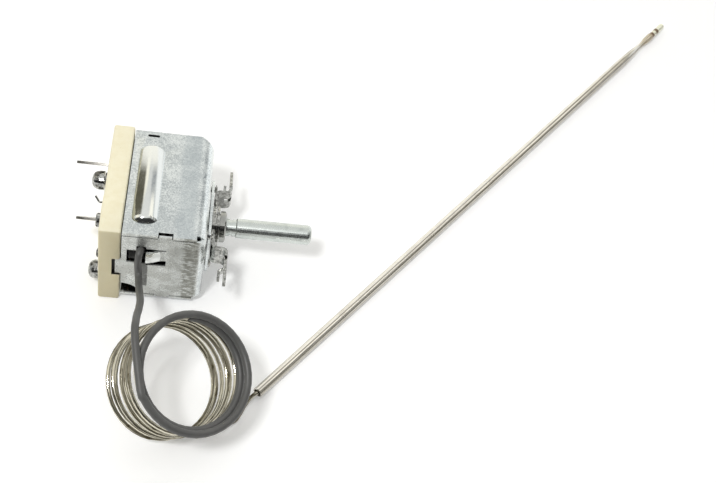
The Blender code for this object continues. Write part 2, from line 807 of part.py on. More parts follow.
def case_scallop():
    """Quarter ellipse taken off the front flap's lower corner."""
    low = CASE_BOTTOM + SHEET + SEAT_GAP
    outline = [(CASE_START - PAST, low - SEAT_GAP / 2), (CASE_START + SCALLOP_LENGTH, low - SEAT_GAP / 2)]
    for step in range(SCALLOP_STEPS + 1):
        angle = pi / 2 * step / SCALLOP_STEPS
        outline.append((CASE_START + SCALLOP_LENGTH * cos(angle), low + SCALLOP_HEIGHT * sin(angle)))
    outline.append((CASE_START - PAST, low + SCALLOP_HEIGHT))
    bm = bmesh.new()
    add_prism(bm, outline, (0, 0, 0), (1, 0, 0), (0, 0, 1), CASE_FRONT - SHEET - PAST, CASE_FRONT + PAST)
    return bm


def build_case(material):
    """Case folded from one sheet: end wall, four flaps, rib, window, slots and keys."""
    case = piece_of("steel_case", shell_block(0.0, 0.0), material)
    weld(case, "pressed rib", rib_above(0.0, CASE_TOP - SHEET / 2))
    cut(case, "case hollow", shell_block(-SHEET, 2 * PAST))
    cut(case, "rib hollow", rib_above(-SHEET, CASE_TOP - 2 * SHEET))
    cut(case, "flap slits", case_slits())
    cut(case, "corner reliefs", case_reliefs())
    cut(case, "case openings", case_openings())
    weld(case, "lanced tongue", lanced_tongue())
    cut(case, "scallop", case_scallop())

    start = CASE_START + LATCH_START
    end = start + LATCH_WIDTH
    bottom = CASE_BOTTOM + SHEET
    top = CASE_TOP - SHEET
    deep = 2 * FLAP_UNDERCUT
    notches = bmesh.new()
    add_box(notches, (start, -CASE_FRONT - PAST, CASE_BOTTOM - PAST),
            (end, LATCH_NOTCH - CASE_FRONT, bottom + deep))
    add_box(notches, (start, CASE_BACK - LATCH_NOTCH, CASE_BOTTOM - PAST),
            (end, CASE_BACK + PAST, bottom + deep))
    add_box(notches, (start, -CASE_FRONT - PAST, top - deep),
            (end, LATCH_NOTCH - CASE_FRONT, CASE_TOP + PAST))
    cut(case, "latch notches", notches)

    latches = bmesh.new()
    start += SEAT_GAP
    end -= SEAT_GAP
    for near, far in ((-CASE_FRONT, SHEET - CASE_FRONT), (CASE_BACK - SHEET, CASE_BACK)):
        add_box(latches, (start, near, CASE_BOTTOM + SEAT_GAP / 2), (end, far, bottom + 2 * SEAT_GAP))
        add_box(latches, (CASE_START - KEY_LENGTH, near, KEY_LOW), (CASE_START + SHEET, far, KEY_HIGH))
    add_box(latches, (start, -CASE_FRONT, top - 2 * SEAT_GAP),
            (end, SHEET - CASE_FRONT, CASE_TOP - SEAT_GAP / 2))
    weld(case, "latches and keys", latches)
    return case


def stop_pin_place():
    """Place of the stop pin."""
    angle = radians(STOP_PIN_ANGLE)
    return AXIS + Vector((0.0, cos(angle), sin(angle))) * STOP_PIN_REACH


def plate_rivet_places():
    """Places of the bearing plate's four rivets."""
    return [AXIS + Vector((0.0, y, z)) for y in (-RIVET_SPREAD_Y, RIVET_SPREAD_Y)
            for z in (-RIVET_SPREAD_Z, RIVET_SPREAD_Z)]


def bridge_rivet_places():
    """Places in Y of the guide bridge's two rivets."""
    return (-BRIDGE_FRONT - BRIDGE_FOOT / 2, BRIDGE_BACK + BRIDGE_FOOT / 2)


def build_plates(steel, clip_steel, rivet_steel):
    """Bearing plate, its rivets, the washer and the mounting clip."""
    half_y = BEARING_PLATE_WIDTH / 2
    half_z = BEARING_PLATE_HEIGHT / 2
    outline = [(-half_y, -half_z), (half_y, -half_z), (half_y, half_z), (-half_y, half_z)]
    bm = bmesh.new()
    add_prism(bm, round_corners(outline, PLATE_CORNER), AXIS, (0, 1, 0), (0, 0, 1), PLATE_START, PLATE_END)
    plate = piece_of("bearing_plate", bm, steel)
    holes = bmesh.new()
    add_bore(holes, AXIS, PLATE_START, PLATE_END, BUSHING_RADIUS + BORE_GAP, MEDIUM)
    for place in plate_rivet_places():
        add_bore(holes, place, PLATE_START, PLATE_END, PLATE_RIVET_RADIUS + BORE_GAP)
    cut(plate, "bearing plate holes", holes)

    inner = END_WALL - SEAT_GAP
    outer = PLATE_END + SEAT_GAP
    head = PLATE_RIVET_HEAD
    tall = PLATE_RIVET_HEAD_HEIGHT
    profile = [
        (inner - tall, 0.0), (inner - tall, head * 0.7), (inner - tall / 2, head), (inner, head),
        (inner, PLATE_RIVET_RADIUS), (outer, PLATE_RIVET_RADIUS), (outer, head),
        (outer + tall * 0.6, head * 0.8), (outer + tall, head * 0.4), (outer + tall, 0.0),
    ]
    for number, place in enumerate(plate_rivet_places(), 1):
        bm = bmesh.new()
        add_turned(bm, profile, place, OUTWARD, COARSE)
        piece_of(f"plate_rivet_{number}", bm, rivet_steel)

    bm = bmesh.new()
    bore = BUSHING_RADIUS + BORE_GAP
    add_turned(bm, [(WASHER_START, bore), (WASHER_END, bore), (WASHER_END, WASHER_RADIUS),
                    (WASHER_START, WASHER_RADIUS)], AXIS, OUTWARD, FINE)
    piece_of("spacer_washer", bm, rivet_steel)
    build_clip(clip_steel)


def build_clip(material):
    """Mounting clip: strip, two legs, two pointed ears, each with a prong beside it."""
    middle = CLIP_START + CLIP_SHEET / 2
    ear = middle + CLIP_RISE
    tip = CLIP_REACH + EAR_LENGTH
    path = [(-tip, ear), (-CLIP_REACH, ear), (-CLIP_REACH, middle), (CLIP_REACH, middle),
            (CLIP_REACH, ear), (tip, ear)]
    bm = bmesh.new()
    half = CLIP_WIDTH / 2
    outline = folded_outline(path, CLIP_SHEET, CLIP_BEND)
    add_prism(bm, outline, AXIS, (0, 1, 0), (1, 0, 0), -half, half)
    clip = piece_of("mounting_clip", bm, material)
    eye = bmesh.new()
    add_rod(eye, AXIS + OUTWARD * CLIP_START, AXIS + OUTWARD * CLIP_END, CLIP_EYE_RADIUS, FINE)
    weld(clip, "clip eye", eye)

    trims = bmesh.new()
    root = CLIP_REACH + CLIP_BEND + CLIP_SHEET
    low = ear - CLIP_SHEET
    high = ear + CLIP_SHEET
    lobe = half * 0.55
    neck = root + PRONG_LENGTH * 0.12
    waist = root + EAR_LENGTH * 0.45
    for side in (-1, 1):
        for edge in (-1, 1):
            outline = [
                (side * neck, edge * (half + PAST)),
                (side * neck, edge * lobe),
                (side * waist, edge * lobe * 0.75),
                (side * tip, edge * EAR_TIP / 2),
                (side * (tip + PAST), edge * EAR_TIP / 2),
                (side * (tip + PAST), edge * (half + PAST)),
            ]
            add_prism(trims, outline, AXIS, (0, 1, 0), (0, 0, 1), low, high)
    cut(clip, "ear trims", trims)

    holes = bmesh.new()
    add_bore(holes, AXIS, CLIP_START, CLIP_END, BUSHING_RADIUS + BORE_GAP, MEDIUM)
    slot_half = EAR_SLOT_WIDTH / 2
    for side in (-1, 1):
        near = side * (CLIP_REACH - CLIP_SHEET)
        far = side * (CLIP_REACH + CLIP_BEND + EAR_SLOT_LENGTH)
        low_y, high_y = sorted((near, far))
        add_box(holes, (ear - 2 * CLIP_SHEET, low_y, AXIS_HEIGHT - slot_half),
                (ear + CLIP_SHEET, high_y, AXIS_HEIGHT + slot_half))
    cut(clip, "clip holes", holes)

    prongs = bmesh.new()
    for side in (-1, 1):
        start = CLIP_REACH + CLIP_BEND
        path = [
            (side * start, ear),
            (side * (start + PRONG_LENGTH * 0.35), ear),
            (side * (start + PRONG_LENGTH * 0.55), ear - PRONG_DROP),
            (side * (start + PRONG_LENGTH), ear - PRONG_DROP),
        ]
        outline = folded_outline(path, CLIP_SHEET * 0.9, CLIP_BEND * 0.4, 3)
        add_prism(prongs, outline, AXIS, (0, 1, 0), (1, 0, 0), half - PRONG_WIDTH, half - FLAP_UNDERCUT)
    weld(clip, "prongs", prongs)
    return clip


def build_bushing(material):
    """Bushing with a flange inside the end wall and a collar outside the clip."""
    bore = NECK_RADIUS + BORE_GAP
    profile = [
        (FLANGE_START, bore), (FLANGE_START, INNER_FLANGE_RADIUS), (FLANGE_END, INNER_FLANGE_RADIUS),
        (FLANGE_END, BUSHING_RADIUS), (COLLAR_START, BUSHING_RADIUS), (COLLAR_START, COLLAR_RADIUS),
        (COLLAR_END - COLLAR_EDGE, COLLAR_RADIUS), (COLLAR_END, COLLAR_RADIUS - COLLAR_EDGE),
        (COLLAR_END, bore),
    ]
    bm = bmesh.new()
    add_turned(bm, profile, AXIS, OUTWARD, FINE)
    return piece_of("spindle_bushing", bm, material)


def build_spindle(steel, disc_steel, parent):
    """Spindle with its neck and inner end, and the stop disc pressed on it."""
    steps = 4
    turn = SPINDLE_END_ROUND
    rounded = [(SPINDLE_END - turn + turn * sin(pi / 2 * k / steps),
                SPINDLE_RADIUS - turn + turn * cos(pi / 2 * k / steps)) for k in range(steps + 1)]
    groove_start = COLLAR_END + (NECK_LENGTH - NECK_GROOVE_LENGTH) / 2
    groove_end = groove_start + NECK_GROOVE_LENGTH
    floor = NECK_RADIUS - NECK_GROOVE
    edge = SPINDLE_EDGE
    profile = [
        (SPINDLE_START, 0.0), (SPINDLE_START, NECK_RADIUS - edge), (SPINDLE_START + edge, NECK_RADIUS),
        (groove_start, NECK_RADIUS), (groove_start, floor), (groove_end, floor), (groove_end, NECK_RADIUS),
        (SHOULDER, NECK_RADIUS), (SHOULDER, SPINDLE_RADIUS - edge), (SHOULDER + edge, SPINDLE_RADIUS),
        *rounded, (SPINDLE_END, 0.0),
    ]
    bm = bmesh.new()
    add_turned(bm, profile, AXIS, OUTWARD, FINE)
    spindle = piece_of("spindle", bm, steel, parent)

    outline = []
    lug = radians(LUG_HALF_ANGLE)
    centre = radians(STOP_PIN_ANGLE + (360 - SPINDLE_TURN) / 2)
    for step in range(LUG_STEPS + 1):
        angle = centre - lug + 2 * lug * step / LUG_STEPS
        outline.append((LUG_RADIUS * cos(angle), LUG_RADIUS * sin(angle)))
    rest = 2 * pi - 2 * lug
    rest_steps = FINE - LUG_STEPS
    for step in range(rest_steps + 1):
        angle = centre + lug + rest * step / rest_steps
        outline.append((STOP_DISC_RADIUS * cos(angle), STOP_DISC_RADIUS * sin(angle)))
    bm = bmesh.new()
    add_prism(bm, outline, AXIS, (0, 1, 0), (0, 0, 1), DISC_START, DISC_END)
    disc = piece_of("stop_disc", bm, disc_steel, parent)
    hole = bmesh.new()
    add_bore(hole, AXIS, DISC_START, DISC_END, NECK_RADIUS + BORE_GAP, MEDIUM)
    cut(disc, "stop disc bore", hole, parent)
    return spindle


def build_stop_pin(material):
    """Stop pin riveted into the end wall, in the way of the disc's lug."""
    bm = bmesh.new()
    inner = DISC_START - SEAT_GAP
    profile = [(inner, 0.0), (inner, STOP_PIN_RADIUS - SPINDLE_EDGE), (inner + SPINDLE_EDGE, STOP_PIN_RADIUS),
               (CASE_END, STOP_PIN_RADIUS), (CASE_END, 0.0)]
    add_turned(bm, profile, stop_pin_place(), OUTWARD, COARSE)
    return piece_of("stop_pin", bm, material)


def build_carrier(steel, capsule_steel, parent):
    """Carrier that the spindle's thread moves, and the diaphragm capsule seated on it."""
    half = CARRIER_WIDTH / 2
    low = CASE_BOTTOM + SHEET + SEAT_GAP - AXIS_HEIGHT
    high = CASE_TOP - SHEET - SEAT_GAP - AXIS_HEIGHT
    waist = CAPSULE_RADIUS * 0.9
    shoulder = half * 0.62
    outline = [
        (-shoulder, low), (shoulder, low), (shoulder, -waist), (half, -half), (half, half),
        (shoulder, waist), (shoulder, high), (-shoulder, high), (-shoulder, waist), (-half, half),
        (-half, -half), (-shoulder, -waist),
    ]
    bm = bmesh.new()
    add_prism(bm, outline, AXIS, (0, 1, 0), (0, 0, 1), CARRIER_START, PLATE_OF_CARRIER)
    carrier = piece_of("diaphragm_carrier", bm, steel, parent)
    hub = bmesh.new()
    add_rod(hub, AXIS + OUTWARD * (PLATE_OF_CARRIER - CARRIER_PLATE / 2), AXIS + OUTWARD * CARRIER_END,
            CARRIER_HUB_RADIUS, MEDIUM)
    weld(carrier, "carrier hub", hub, parent)
    bore = bmesh.new()
    floor = CARRIER_START + CARRIER_FLOOR + CARRIER_PLATE * 0.9
    add_rod(bore, AXIS + OUTWARD * floor, AXIS + OUTWARD * (CARRIER_END + PAST),
            NECK_RADIUS + BORE_GAP, MEDIUM)
    cut(carrier, "carrier bore", bore, parent)

    front = []
    steps = 4 * CAPSULE_WAVES
    inner = CAPSULE_RADIUS * 0.22
    outer = CAPSULE_RADIUS * 0.84
    crown = CAPSULE_THICKNESS / 2 - WAVE_HEIGHT
    for step in range(steps + 1):
        radius = inner + (outer - inner) * step / steps
        ripple = WAVE_HEIGHT * cos(2 * pi * CAPSULE_WAVES * step / steps)
        front.append((radius, crown * (1 - 0.45 * step / steps) + ripple))
    middle = (CAPSULE_START + CAPSULE_END) / 2
    half_rim = CAPSULE_RIM / 2
    rim = [(CAPSULE_RADIUS * 0.9, half_rim), (CAPSULE_RADIUS, half_rim)]
    flat = CAPSULE_THICKNESS / 2
    face = [(0.0, flat), (inner * 0.8, flat)] + front + rim
    profile = [(middle - a, r) for r, a in face] + [(middle + a, r) for r, a in reversed(face)]
    bm = bmesh.new()
    add_turned(bm, profile, AXIS, OUTWARD, MEDIUM)
    piece_of("diaphragm_capsule", bm, capsule_steel, parent)


def build_capillary_stub(material, parent):
    """Capillary between the capsule's rim and the window."""
    angle = radians(STUB_ANGLE)
    reach = CAPSULE_RADIUS + SEAT_GAP + CAPILLARY_DIAMETER * 0.15
    middle = (CAPSULE_START + CAPSULE_END) / 2
    root = Vector((middle, reach * cos(angle), AXIS_HEIGHT + reach * sin(angle)))
    leaving = (Vector(FIRST_BEND[1]) - Vector(FIRST_BEND[0])).normalized()
    route = [root, *STUB_ROUTE, EXIT - leaving * SEAT_GAP]
    tube_along("capillary_stub", route, CAPILLARY_DIAMETER, material, CAPILLARY_DIAMETER, parent)


def build_plunger(material, parent):
    """Ceramic plunger with the collar that stops it on the guide bridge."""
    collar = BRIDGE_FACE + PLUNGER_STROKE + SEAT_GAP + FLAP_UNDERCUT
    turn = PLUNGER_EDGE
    profile = [
        (PLUNGER_START, 0.0), (PLUNGER_START, PLUNGER_RADIUS - turn), (PLUNGER_START + turn, PLUNGER_RADIUS),
        (collar, PLUNGER_RADIUS), (collar, PLUNGER_COLLAR_RADIUS),
        (collar + PLUNGER_COLLAR, PLUNGER_COLLAR_RADIUS), (collar + PLUNGER_COLLAR, PLUNGER_RADIUS),
        (PLUNGER_END - turn, PLUNGER_RADIUS), (PLUNGER_END, PLUNGER_RADIUS - turn), (PLUNGER_END, 0.0),
    ]
    bm = bmesh.new()
    add_turned(bm, profile, AXIS, OUTWARD, MEDIUM)
    return piece_of("plunger_pin", bm, material, parent)


def build_bridge(steel, rivet_steel):
    """Guide bridge over the contact blade, with a foot and a rivet at each end."""
    face = BRIDGE_FACE - BRIDGE_SHEET / 2
    foot = STRIP_START + BRIDGE_SHEET / 2
    path = [
        (-BRIDGE_FRONT - BRIDGE_FOOT, foot), (-BRIDGE_FRONT, foot), (-BRIDGE_FRONT, face),
        (BRIDGE_BACK, face), (BRIDGE_BACK, foot), (BRIDGE_BACK + BRIDGE_FOOT, foot),
    ]
    bm = bmesh.new()
    half = BRIDGE_WIDTH / 2
    outline = folded_outline(path, BRIDGE_SHEET, BRIDGE_SHEET * 0.6, 3)
    add_prism(bm, outline, AXIS, (0, 1, 0), (1, 0, 0), -half, half)
    bridge = piece_of("guide_bridge", bm, steel)
    holes = bmesh.new()
    add_bore(holes, AXIS, BRIDGE_FACE - BRIDGE_SHEET, BRIDGE_FACE, PLUNGER_RADIUS + BORE_GAP, MEDIUM)
    for y in bridge_rivet_places():
        add_bore(holes, (0.0, y, AXIS_HEIGHT), STRIP_START, STRIP_START + BRIDGE_SHEET,
                 BRIDGE_RIVET_RADIUS + BORE_GAP)
    cut(bridge, "bridge holes", holes)
    for name, y in zip(("bridge_rivet_front", "bridge_rivet_back"), bridge_rivet_places()):
        bm = bmesh.new()
        outer = BASE_REAR - SEAT_GAP
        inner = STRIP_START + BRIDGE_SHEET + SEAT_GAP
        head = BRIDGE_RIVET_HEAD
        tall = BRIDGE_RIVET_HEAD_HEIGHT
        profile = [
            (outer - tall, 0.0), (outer - tall, head * 0.6), (outer - tall / 2, head), (outer, head),
            (outer, BRIDGE_RIVET_RADIUS), (inner, BRIDGE_RIVET_RADIUS), (inner, head),
            (inner + tall / 2, head), (inner + tall, head * 0.6), (inner + tall, 0.0),
        ]
        add_turned(bm, profile, (0, y, AXIS_HEIGHT), OUTWARD, COARSE)
        piece_of(name, bm, rivet_steel)


def domed_rivet(name, place, outer, tall, inner, material):
    """Rivet through the base: blunt domed head behind, flat head inside."""
    profile = []
    for step in range(RIVET_HEAD_STEPS):
        angle = pi / 2 * step / RIVET_HEAD_STEPS
        profile.append((outer - tall * cos(angle) ** RIVET_HEAD_BLUNTNESS,
                        RIVET_HEAD_RADIUS * sin(angle) ** RIVET_HEAD_BLUNTNESS))
    profile += [
        (outer, RIVET_HEAD_RADIUS), (outer, RIVET_RADIUS), (inner, RIVET_RADIUS), (inner, RIVET_INNER_HEAD),
        (inner + RIVET_INNER_HEIGHT, RIVET_INNER_HEAD * 0.85), (inner + RIVET_INNER_HEIGHT, 0.0),
    ]
    bm = bmesh.new()
    add_turned(bm, profile, on_line(place), OUTWARD, MEDIUM)
    return piece_of(name, bm, material)


def build_tab_washer(material):
    """Tab washer under the upper rivet's head: ring round its shank, with a tail curled up."""
    middle = (TAB_START + TAB_END) / 2
    path = [
        (UPPER_RIVET_PLACE - RIVET_RADIUS, middle), (TAB_FOLD, middle),
        (TAB_FOLD - TAB_SLANT, middle - TAB_HOOK), (TAB_TIP, middle - TAB_RISE),
    ]
    outline = folded_outline(path, TAB_SHEET, TAB_BEND, 3)
    bm = bmesh.new()
    add_prism(bm, outline, AXIS, LINE, OUTWARD, -TAB_WIDTH / 2, TAB_WIDTH / 2)
    washer = piece_of("tab_washer", bm, material)
    ring = bmesh.new()
    add_rod(ring, on_line(UPPER_RIVET_PLACE, TAB_END), on_line(UPPER_RIVET_PLACE, TAB_START),
            TAB_RING, MEDIUM)
    weld(washer, "washer ring", ring)
    hole = bmesh.new()
    add_bore(hole, on_line(UPPER_RIVET_PLACE), TAB_END, TAB_START, RIVET_RADIUS + BORE_GAP, MEDIUM)
    cut(washer, "washer bore", hole)


def clear_bottom_flap(bm):
    """Cutter that trims a strip's corner where it would reach into the case's bottom flap."""
    add_box(bm, (BASE_FACE, -CASE_FRONT, -PAST), (BRIDGE_FACE, 0.0, CASE_BOTTOM + SHEET + SEAT_GAP))


def terminal_blade_trims(bm, place, tip):
    """Cutters that point a terminal's tip and punch its hole."""
    half = TERMINAL_WIDTH / 2
    chamfer = TERMINAL_TIP_CHAMFER
    length = TERMINAL_TIP_LENGTH
    over = 0.4
    start = tip - over * length
    end = tip + (1 + over) * length
    wide = half + over * chamfer
    for side in (-1, 1):
        outline = [(start, side * (half - (1 + over) * chamfer)), (end, side * wide), (start, side * wide)]
        add_prism(bm, outline, on_line(place), OUTWARD, ACROSS, -2 * PAST, 2 * PAST)
    middle = tip + TERMINAL_HOLE_PLACE
    add_rod(bm, on_line(place - 2 * PAST, middle), on_line(place + 2 * PAST, middle), TERMINAL_HOLE)


def build_terminals(brass, rivet_steel):
    """Two tab terminals through the base, each riveted on, slanting like the contact line."""
    half = TERMINAL_WIDTH / 2
    foot = STRIP_START + TERMINAL_SHEET / 2
    arm = ARM_START + TERMINAL_SHEET / 2
    bore = RIVET_RADIUS + BORE_GAP
    tip = BASE_REAR - UPPER_TERMINAL_REACH
    path = [(UPPER_TERMINAL_PLACE, tip), (UPPER_TERMINAL_PLACE, foot), (ARM_WALL, foot),
            (ARM_WALL, arm), (ARM_END, arm)]
    bm = bmesh.new()
    outline = folded_outline(path, TERMINAL_SHEET, TERMINAL_SHEET * 0.5, 3)
    add_prism(bm, outline, AXIS, LINE, OUTWARD, -half, half)
    upper = piece_of("upper_terminal", bm, brass)
    trims = bmesh.new()
    terminal_blade_trims(trims, UPPER_TERMINAL_PLACE, tip)
    add_bore(trims, on_line(UPPER_RIVET_PLACE), STRIP_START, STRIP_END, bore)
    add_bore(trims, on_line(CONTACT_PLACE), ARM_START, ARM_FACE, CONTACT_SHANK + BORE_GAP)
    cut(upper, "upper terminal trims", trims)
    domed_rivet("upper_rivet", UPPER_RIVET_PLACE, TAB_END - SEAT_GAP, UPPER_RIVET_HEAD_HEIGHT,
                STRIP_END + SEAT_GAP, rivet_steel)
    build_tab_washer(rivet_steel)

    tip = BASE_REAR - LOWER_TERMINAL_REACH
    path = [(LOWER_TERMINAL_PLACE, tip), (LOWER_TERMINAL_PLACE, foot), (-BLADE_ANCHOR - half * 0.9, foot)]
    bm = bmesh.new()
    outline = folded_outline(path, TERMINAL_SHEET, TERMINAL_SHEET * 0.5, 3)
    add_prism(bm, outline, AXIS, LINE, OUTWARD, -half, half)
    lower = piece_of("lower_terminal", bm, brass)
    trims = bmesh.new()
    terminal_blade_trims(trims, LOWER_TERMINAL_PLACE, tip)
    add_bore(trims, on_line(-BLADE_ANCHOR), STRIP_START, STRIP_END, bore)
    clear_bottom_flap(trims)
    cut(lower, "lower terminal trims", trims)
    domed_rivet("lower_rivet", -BLADE_ANCHOR, BASE_REAR - SEAT_GAP, LOWER_RIVET_HEAD_HEIGHT,
                BLADE_END + SEAT_GAP, rivet_steel)

    bm = bmesh.new()
    ring = RIVET_INNER_HEAD
    add_turned(bm, [(SPACER_START, bore), (SPACER_END, bore), (SPACER_END, ring), (SPACER_START, ring)],
               on_line(-BLADE_ANCHOR), OUTWARD, MEDIUM)
    piece_of("blade_spacer", bm, brass)


def contact_stud(name, place, face, back, material, parent=None):
    """Silver contact: button on one side of its carrier, shank through it, head on the other."""
    step = 1 if back > face else -1
    far = back + step * (SEAT_GAP + CONTACT_HEIGHT * 0.6)
    near = back + step * SEAT_GAP
    shank = face + step * CONTACT_HEIGHT
    edge = CONTACT_RADIUS * 0.2
    profile = [
        (face, 0.0), (face, CONTACT_RADIUS - edge), (face + step * edge, CONTACT_RADIUS),
        (shank, CONTACT_RADIUS), (shank, CONTACT_SHANK), (near, CONTACT_SHANK),
        (near, CONTACT_RADIUS * 0.8), (far, CONTACT_RADIUS * 0.7), (far, 0.0),
    ]
    bm = bmesh.new()
    add_turned(bm, profile, on_line(place), OUTWARD, MEDIUM)
    return piece_of(name, bm, material, parent)


def build_contacts(bronze, silver, parent):
    """Fixed contact under the terminal's arm, snap blade and moving contact."""
    contact_stud("fixed_contact", CONTACT_PLACE, FIXED_CONTACT_START, ARM_FACE, silver)
    half = BLADE_WIDTH / 2
    tail = -BLADE_ANCHOR - half
    nose = half * 0.55
    outline = [(tail, -half), (BLADE_REACH - half, -half), (BLADE_REACH, -nose), (BLADE_REACH, nose),
               (BLADE_REACH - half, half), (tail, half)]
    bm = bmesh.new()
    add_prism(bm, round_corners(outline, BLADE_CORNER, 2), AXIS, LINE, ACROSS, BLADE_START, BLADE_END)
    blade = piece_of("snap_blade", bm, bronze, parent)
    holes = bmesh.new()
    add_bore(holes, on_line(-BLADE_ANCHOR), BLADE_START, BLADE_END, RIVET_RADIUS + BORE_GAP)
    add_bore(holes, on_line(CONTACT_PLACE), BLADE_START, BLADE_END, CONTACT_SHANK + BORE_GAP)
    start = -BLADE_ANCHOR * 0.66
    end = -PLUNGER_RADIUS * 1.5
    narrow = half * 0.36
    window = [(start, -narrow), (end, -narrow), (end, narrow), (start, narrow)]
    add_prism(holes, round_corners(window, BLADE_CORNER, 2), AXIS, LINE, ACROSS,
              BLADE_START - PAST, BLADE_END + PAST)
    clear_bottom_flap(holes)
    cut(blade, "blade holes", holes, parent)
    contact_stud("moving_contact", CONTACT_PLACE, MOVING_CONTACT_END, BLADE_START, silver, parent)


def build_calibration_screw(material):
    """Slotted calibration screw, sunk from behind through the base."""
    place = screw_place()
    outer = BASE_REAR - SEAT_GAP
    top = outer - SCREW_HEAD_HEIGHT
    inner = BASE_FACE - SEAT_GAP
    edge = SCREW_EDGE
    profile = [
        (top, 0.0), (top, SCREW_HEAD_RADIUS - edge), (top + edge, SCREW_HEAD_RADIUS),
        (outer, SCREW_HEAD_RADIUS), (outer, SCREW_RADIUS), (inner - edge, SCREW_RADIUS),
        (inner, SCREW_RADIUS - edge), (inner, 0.0),
    ]
    bm = bmesh.new()
    add_turned(bm, profile, place, OUTWARD, MEDIUM)
    screw = piece_of("calibration_screw", bm, material)
    slot = bmesh.new()
    reach = SCREW_HEAD_RADIUS + PAST
    half = SCREW_SLOT / 2
    add_box(slot, (top - PAST, place.y - reach, place.z - half),
            (top + SCREW_SLOT_DEPTH, place.y + reach, place.z + half))
    cut(screw, "screw slot", slot)


def coil_axis():
    """Direction of the coil's axis, leaning from upright."""
    lean = radians(COIL_LEAN)
    bearing = radians(COIL_BEARING)
    return Vector((sin(lean) * cos(bearing), sin(lean) * sin(bearing), cos(lean)))


def build_capillary(sleeve, steel):
    """Lead to the coil, the coil's turned ring, and the lead from it to the probe."""
    route = [EXIT + Vector(offset) for offset in FIRST_BEND] + LEAD_ROUTE
    tube_along("capillary_lead", route, SLEEVE_DIAMETER, sleeve, SLEEVE_DIAMETER * 0.6)
    inner = COIL_RADIUS - CAPILLARY_DIAMETER / 2
    outer = COIL_RADIUS + CAPILLARY_DIAMETER / 2
    step = SLEEVED_LENGTH / 2
    profile = [
        (step, SLEEVED_INNER), (step, SLEEVED_OUTER), (-step, SLEEVED_OUTER), (-step, outer),
        (-COIL_LENGTH, outer), (-COIL_LENGTH, inner), (-step, inner), (-step, SLEEVED_INNER),
    ]
    bm = bmesh.new()
    add_turned(bm, profile, COIL_CENTRE, coil_axis(), COIL_STEPS)
    piece_of("capillary_coil", bm, steel)
    tube_along("probe_lead", PROBE_LEAD_ROUTE, CAPILLARY_DIAMETER, steel, CAPILLARY_DIAMETER * 2.5)


def build_probe(steel):
    """Probe: drawn tube with an open mouth, a swaged neck, a pinched flare and a tip."""
    bearing = radians(PROBE_BEARING)
    direction = Vector((cos(bearing), sin(bearing), 0.0))
    start = Vector((*PROBE_START, PROBE_RADIUS))
    bore = PROBE_RADIUS - PROBE_WALL
    taper_end = PROBE_TUBE_LENGTH + PROBE_TAPER
    neck_end = taper_end + PROBE_NECK_LENGTH
    flare_end = neck_end + PROBE_FLARE_LENGTH
    end = flare_end + PROBE_TIP_LENGTH
    profile = [
        (PROBE_MOUTH, 0.0), (PROBE_MOUTH, bore), (0.0, bore), (0.0, PROBE_RADIUS - PROBE_EDGE),
        (PROBE_EDGE, PROBE_RADIUS), (PROBE_TUBE_LENGTH, PROBE_RADIUS),
        (PROBE_TUBE_LENGTH + PROBE_TAPER * 0.5, PROBE_RADIUS * 0.82),
        (taper_end, PROBE_NECK_RADIUS), (neck_end, PROBE_NECK_RADIUS),
        (neck_end + PROBE_FLARE_LENGTH * 0.3, PROBE_FLARE_RADIUS * 0.93),
        (neck_end + PROBE_FLARE_LENGTH * 0.7, PROBE_FLARE_RADIUS),
        (flare_end, PROBE_TIP_RADIUS * 0.93), (flare_end + PROBE_TIP_LENGTH * 0.15, PROBE_TIP_RADIUS),
        (end - PROBE_TIP_RADIUS * 0.6, PROBE_TIP_RADIUS),
        (end - PROBE_TIP_RADIUS * 0.15, PROBE_TIP_RADIUS * 0.8), (end, PROBE_TIP_RADIUS * 0.4), (end, 0.0),
    ]
    bm = bmesh.new()
    add_turned(bm, profile, start, direction, MEDIUM)
    return piece_of("probe_tube", bm, steel)


def clear_scene():
    """Remove what the new file starts with."""
    for item in list(bpy.data.objects):
        bpy.data.objects.remove(item, do_unlink=True)


def build():
    """Build every piece of the thermostat."""
    clear_scene()
    cream = finish("moulded_cream", (0.90, 0.85, 0.66), 0.55, 0.0)
    zinc = finish("zinc_plated_sheet", (0.66, 0.68, 0.70), 0.32, 1.0)
    bright = finish("bright_zinc", (0.74, 0.75, 0.75), 0.22, 1.0)
    turned = finish("turned_steel", (0.62, 0.63, 0.62), 0.24, 1.0)
    tinned = finish("tinned_brass", (0.66, 0.64, 0.58), 0.30, 1.0)
    bronze = finish("spring_bronze", (0.72, 0.50, 0.30), 0.32, 1.0)
    silver = finish("contact_silver", (0.85, 0.84, 0.82), 0.25, 1.0)
    ceramic = finish("white_ceramic", (0.88, 0.87, 0.83), 0.45, 0.0)
    nickel = finish("nickel_capillary", (0.70, 0.67, 0.58), 0.22, 1.0)
    stainless = finish("stainless_probe", (0.66, 0.63, 0.58), 0.22, 1.0)
    grey = finish("grey_sleeve", (0.10, 0.105, 0.115), 0.55, 0.0)

    spindle_axis = joint_empty("spindle_axis", AXIS + OUTWARD * COLLAR_END)
    carrier_axis = joint_empty("carrier_axis", AXIS + OUTWARD * CARRIER_START)
    plunger_axis = joint_empty("plunger_axis", AXIS + OUTWARD * PLUNGER_START)
    pivot = -BLADE_ANCHOR + RIVET_INNER_HEAD
    blade_pivot = joint_empty("blade_pivot", on_line(pivot, BLADE_START))

    build_base(cream)
    build_case(zinc)
    build_plates(zinc, bright, bright)
    build_bushing(turned)
    build_spindle(turned, bright, spindle_axis)
    build_stop_pin(turned)
    build_carrier(zinc, stainless, carrier_axis)
    build_capillary_stub(nickel, carrier_axis)
    build_plunger(ceramic, plunger_axis)
    build_bridge(bright, bright)
    build_terminals(tinned, bright)
    build_contacts(bronze, silver, blade_pivot)
    build_calibration_screw(bright)
    build_capillary(grey, nickel)
    build_probe(stainless)


build()
